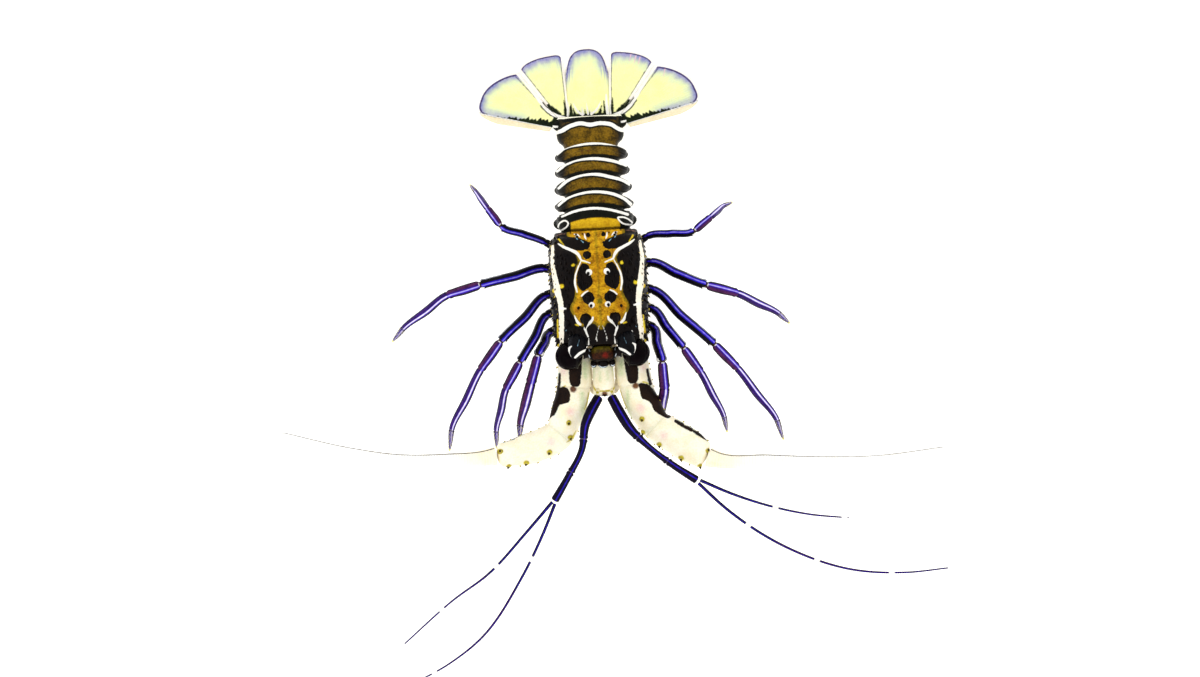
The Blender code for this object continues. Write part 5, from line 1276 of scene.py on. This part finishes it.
def swimmeret(start, end):
    """Leaf under a ring: a flat, hanging blade with a rounded end."""
    y, half, _, _, edge = curve(ABDOMEN[:, 0], ABDOMEN, np.array(((start + end) / 2,)))[0]
    x, high = half * 0.52, edge + ABDOMEN_FLOOR_RISE
    y -= bow(y) * (x / FLANK_X) ** 2
    leaf = ((x, y, high + 1.2, 1.2, 0.5), (x, y + 0.8, high - 2.0, 2.3, 0.45),
            (x - 0.4, y + 1.8, high - 4.4, 0.8, 0.35))
    made = tube(route(leaf, 0.25, (0.3, 0.6)), 28)
    return plain_coats(made, patch=made["marks"]["left"] - 0.5, below=-1.0)


def build_abdomen():
    for number in range(1, 7):
        shell, start, end = tail_ring(number)
        parts = [shell]
        for side in (1, -1):
            if number < 6:
                parts.append(turned_out(side_flap(start, end), side))
            if 1 < number < 6:
                parts.append(turned_out(swimmeret(start, end), side))
            if number == 6:
                parts.append(uropod_base(side))
        piece("tail_ring_%d" % number, parts, TAIL_RING, ["abdomen_%d" % number])


def uropod_base(side):
    """Rounded block beside the last ring that carries a uropod: a short tube from the ring out to the
    plates."""
    path = ((8.0, 88.8, 8.3, 2.4, 2.4), (10.5, 89.0, 8.3, 2.6, 2.6), (13.0, 89.2, 8.2, 2.4, 2.3),
            (15.0, 89.4, 8.0, 1.2, 1.4))
    made = turned_out(tube(route(path, 0.25, (0.4, 1.0)), 36), side)
    x, y = made["points"][:, 0], made["points"][:, 1]
    white = nearest_of(to_line(x, y, ((-16.7, 89.9, 0.2), (-14.9, 88.9, 0.4), (-11.7, 88.4, 0.35))),
                       to_line(x, y, ((11.4, 89.0, 0.3), (13.6, 89.2, 0.4), (15.9, 90.0, 0.25))),
                       to_spot(x, y, (-10.4, 89.6, 0.45)), to_spot(x, y, (9.0, 89.8, 0.45)))
    return plain_coats(made, patch=-1.0, white=white)


# Tail fan

def blade(form, name):
    """A fan blade: lines from its base to its end corners with a bulging end, thin at the rim, ribs
    fanning out."""
    base_in, base_out, end_in, end_out = [np.array(corner) for corner in form[:4]]
    bulge, heights, power, skew = form[4:]
    u = 0.5 - 0.5 * np.cos(np.linspace(0, math.pi, 120)) * 0.999
    u = (0.55 * u + 0.45 * np.linspace(0, 1, 120))[None]
    v = np.concatenate((np.linspace(0, 0.93, 100), np.linspace(0.935, 1.0, 26)))[:, None]
    inner = base_in + (end_in - base_in) * v[:, :, None]
    outer = base_out + (end_out - base_out) * v[:, :, None]
    chord = end_out - end_in
    out = np.array((-chord[1], chord[0])) / np.linalg.norm(chord)
    if out @ (end_in - base_in) < 0:
        out = -out
    curve_end = np.maximum(0, 1 - np.abs(2 * u ** skew - 1) ** power) ** (1 / power)
    plan = inner + (outer - inner) * u[:, :, None] + out * (bulge * curve_end * v ** 1.4)[:, :, None]
    rim = plan[-1]
    to_end = np.linalg.norm(plan - rim[None], axis=-1)
    for _ in range(2):
        to_end = np.min([np.linalg.norm(plan - np.roll(rim, shift, axis=0)[None], axis=-1)
                         for shift in (-24, -16, -10, -6, -3, -1, 0, 1, 3, 6, 10, 16, 24)], axis=0)
    width = np.linalg.norm(outer - inner, axis=-1)
    to_in, to_out = width * u, width * (1 - u)
    to_base = np.linalg.norm(plan - plan[:1], axis=-1)
    sag = PLATE_CAMBER * (2 * u - 1) ** 2 * v
    lines = 26 if name == "telson" else 22
    ribs = 0.1 * np.cos(TURN * lines * u) * np.minimum(1, v * 3) * (1 - 0.5 * v)
    z = heights[0] + (heights[1] - heights[0]) * v - sag
    thick = (PLATE_THICK[0] + (PLATE_THICK[1] - PLATE_THICK[0]) * v) / 2
    edge = np.sqrt(1 - np.clip(1 - np.minimum.reduce((to_in, to_out, to_end)) / 0.6, 0, 1) ** 2) * 0.9 + 0.1
    above = np.dstack((plan, z + (thick + ribs) * edge))
    under = np.dstack((plan, z - (thick + ribs * 0.5) * edge))
    points = np.concatenate((above, under[:, ::-1]), axis=1)
    marks = blade_marks(plan[:, :, 0], plan[:, :, 1], to_end, to_in, to_out, to_base, u, v, name)
    marks = {mark: np.concatenate((value, value[:, ::-1]), axis=1) for mark, value in marks.items()}
    return grid(points, marks)


# White line between inner and outer plate, white strokes at the foot of the telson, and dark ones between
# them
FAN_SEAM = ((27.4, 111.9, 0.3), (22.0, 103.0, 0.4), (19.0, 98.4, 0.5), (15.7, 94.7, 0.65), (12.5, 92.8, 0.65),
            (9.6, 92.0, 0.5))
TELSON_WHITES = (
    ((-6.2, 97.8, 0.12), (-4.4, 94.2, 0.4), (-2.6, 92.8, 0.45)), ((-2.8, 96.0, 0.1), (-2.3, 93.1, 0.4)),
    ((-0.8, 97.5, 0.12), (-0.4, 93.0, 0.4)), ((0.7, 94.4, 0.1), (1.0, 92.8, 0.3)),
    ((5.0, 97.8, 0.12), (2.9, 94.4, 0.4), (0.9, 92.9, 0.45)),
    ((-8.9, 100.8, 0.25), (-8.4, 96.3, 0.5), (-8.7, 92.6, 0.6)), ((7.3, 100.6, 0.25), (7.3, 96.7, 0.5),
            (7.5, 92.6, 0.6)))
TELSON_DARKS = (
    ((-7.2, 92.4, 1.0), (-7.2, 95.2, 0.6), (-7.0, 97.8, 0.1)), ((-5.6, 92.4, 0.9), (-6.0, 94.6, 0.3),
            (-6.3, 95.8, 0.1)),
    ((-3.6, 92.4, 0.4), (-3.7, 94.4, 0.1)), ((-1.4, 92.4, 0.6), (-1.6, 94.8, 0.1)), ((0.3, 92.4, 0.4),
            (0.2, 94.2, 0.1)),
    ((4.2, 92.4, 1.0), (4.8, 94.6, 0.4), (5.3, 96.2, 0.1)), ((6.4, 92.4, 0.8), (6.3, 95.4, 0.4),
                                                             (6.2, 98.0, 0.1)))


def blade_marks(x, y, to_end, to_in, to_out, to_base, u, v, name):
    """Colours of a blade, from the distances to its end, its two long edges and its base."""
    near = to_end
    if name == "uropod_outer":
        near = np.minimum(to_end, to_out + np.maximum(0, 13 - to_base) * 0.8)
    wander = 0.3 * np.sin(u * 17 + 1.3) + 0.2 * np.sin(u * 41)
    feather = 0.7 * np.sin(to_base * 1.9 + 0.7) * np.sin(to_base * 0.77) + 0.4 * np.sin(to_base * 4.3 + 1.1)
    seam = to_line(x, y, FAN_SEAM)
    marks = {
        "cool": near - 5.6 - wander, "lilac": near - 2.9 - wander,
        "violet": np.abs(near - 1.0) - 0.26, "fringe": near - 0.75,
        "patch": nearest_of(to_base - 1.0, np.maximum(seam - 0.5, to_base - 9.0)),
        "notch": np.full_like(to_end, FAR),
        "white": np.full_like(to_end, FAR),
        "cream": np.full_like(to_end, FAR),
    }
    if name == "telson":
        marks["white"] = nearest_of(*[to_line(x, y, stroke) for stroke in TELSON_WHITES])
        marks["patch"] = nearest_of(to_base - 1.0, *[to_line(x, y, stroke) for stroke in TELSON_DARKS])
    if name == "uropod_inner":
        marks["white"] = nearest_of(seam, to_line(x, y, ((8.3, 101.0, 0.3), (8.2, 96.0, 0.5),
                                                         (8.4, 92.5, 0.6))))
        marks["fringe"] = nearest_of(marks["fringe"], to_in - 0.8, to_out - 0.7)
        marks["violet"] = nearest_of(marks["violet"], np.abs(to_in - 1.0) - 0.12, np.abs(to_out - 0.9) - 0.1)
        marks["patch"] = nearest_of(
            to_base - 1.0, np.maximum(to_out - 1.0, to_base - 7.0),
            to_line(x, y, ((12.0, 93.6, 0.9), (13.8, 95.6, 0.7), (15.4, 97.4, 0.15))),
            to_line(x, y, ((9.3, 93.2, 0.7), (9.5, 96.0, 0.5), (9.8, 99.2, 0.12))))
    if name == "uropod_outer":
        marks["cream"] = to_out - 1.6
        marks["white"] = nearest_of(seam, np.abs(to_out - 1.8) - 0.15)
        thick = np.interp(to_base, (0, 6, 14, 22), (3.0, 2.5, 1.3, 0.1)) + feather * np.interp(to_base,
                (0, 6, 20), (0.5, 1, 0.5))
        marks["patch"] = nearest_of(to_base - 1.6, np.maximum(to_out - 1.8 - thick, 1.6 - to_out),
                                    np.maximum(seam - 0.45, to_base - 9.0))
        marks["fringe"] = nearest_of(near - 1.0, to_in - np.interp(to_base, (0, 9, 20), (1.6, 1.3, 0.7)))
        marks["violet"] = nearest_of(np.abs(near - 1.4) - 0.3, np.abs(to_in - 1.1) - 0.1)
    return marks


def build_tail_fan():
    piece("fan_telson", [blade(TAIL_PLATES["telson"], "telson")], FAN, ["telson"])
    for word, side in SIDES.items():
        for name in ("uropod_inner", "uropod_outer"):
            made = blade(TAIL_PLATES[name], name)
            if word == "left":
                x, y = made["points"][:, 0], made["points"][:, 1]
                tears = [to_line(x, y, ((px, py, 0.22), (px - 0.8, py - 2.6, 0.1)))
                         for px, py in ((18.2, 116.2), (20.2, 115.6), (21.8, 115.0), (31.6, 109.6))]
                made["marks"]["notch"] = nearest_of(*tears)
            piece("fan_%s_%s" % (name, word), [made], FAN, ["%s_%s" % (name, word)], side)


# Stage

CAMERA_TARGET = np.array((-3.10, 8.99)) * MM
CAMERA_HEIGHT = 2.02
CAMERA_LENS = 150
CAMERA_TILT = math.atan(0.056)
FLOOR_REACH = 6.0
LAMP_SIDES = (1.6, 1.2)
LAMP_WATTS = 3.0
LAMP_PLACE = (-0.7, -0.5, 1.3)


def build_stage():
    """Pale floor, a white sky for the soft light, one broad lamp, and the camera over the animal."""
    scene = bpy.context.scene
    scene.view_settings.view_transform = "Standard"
    paper = bpy.data.materials.new("floor_paper")
    paper.use_nodes = True
    tree = paper.node_tree
    shader = tree.nodes["Principled BSDF"]
    fibres = add(tree, "TexNoise", {"Vector": add(tree, "TexCoord").outputs["Object"],
                                    "Scale": 120.0}).outputs["Fac"]
    tone = add(tree, "Mix", {0: fibres, 6: linear("#F4F4F2"), 7: linear("#FBFBFA")},
               data_type="RGBA").outputs[2]
    tree.links.new(tone, shader.inputs["Base Color"])
    tree.links.new(tone, shader.inputs["Emission Color"])
    shader.inputs["Emission Strength"].default_value = 0.6
    shader.inputs["Roughness"].default_value = 0.9
    shader.inputs["Specular IOR Level"].default_value = 0.1
    mesh = bpy.data.meshes.new("floor")
    corners = [(x * FLOOR_REACH, y * FLOOR_REACH, 0) for x, y in ((-1, -1), (1, -1), (1, 1), (-1, 1))]
    mesh.from_pydata(corners, [], [(0, 1, 2, 3)])
    mesh.materials.append(paper)
    floor = bpy.data.objects.new("floor", mesh)
    scene.collection.objects.link(floor)

    world = bpy.data.worlds.new("white_sky")
    world.use_nodes = True
    sky = world.node_tree
    level = add(sky, "SeparateXYZ", {0: add(sky, "TexCoord").outputs["Generated"]}).outputs["Z"]
    shade = add(sky, "MapRange", {"Value": level, "From Min": 0.5, "From Max": 0.95, "To Min": 1.3,
                                  "To Max": 1.05}, interpolation_type="SMOOTHSTEP").outputs[0]
    sky.nodes["Background"].inputs["Color"].default_value = (1.0, 1.0, 1.0, 1.0)
    sky.links.new(shade, sky.nodes["Background"].inputs["Strength"])
    scene.world = world

    lamp = bpy.data.lights.new("softbox", "AREA")
    lamp.shape = "RECTANGLE"
    lamp.size, lamp.size_y = LAMP_SIDES
    lamp.energy = LAMP_WATTS
    softbox = bpy.data.objects.new("softbox", lamp)
    softbox.matrix_world = Matrix.Translation(LAMP_PLACE) @ Matrix.Rotation(
        math.radians(-28), 4, "Y") @ Matrix.Rotation(math.radians(20), 4, "X")
    scene.collection.objects.link(softbox)

    camera = bpy.data.cameras.new("camera")
    camera.lens = CAMERA_LENS
    camera.sensor_width = 36
    camera.clip_end = 20
    eye = bpy.data.objects.new("camera", camera)
    place = Matrix.Translation((*CAMERA_TARGET, CAMERA_HEIGHT))
    eye.matrix_world = place @ Matrix.Rotation(-CAMERA_TILT, 4, "Z")
    scene.collection.objects.link(eye)
    scene.camera = eye


build_carapace()
build_eyes()
build_head()
build_antennae()
build_antennules()
build_legs()
build_sternum()
build_abdomen()
build_tail_fan()
build_stage()
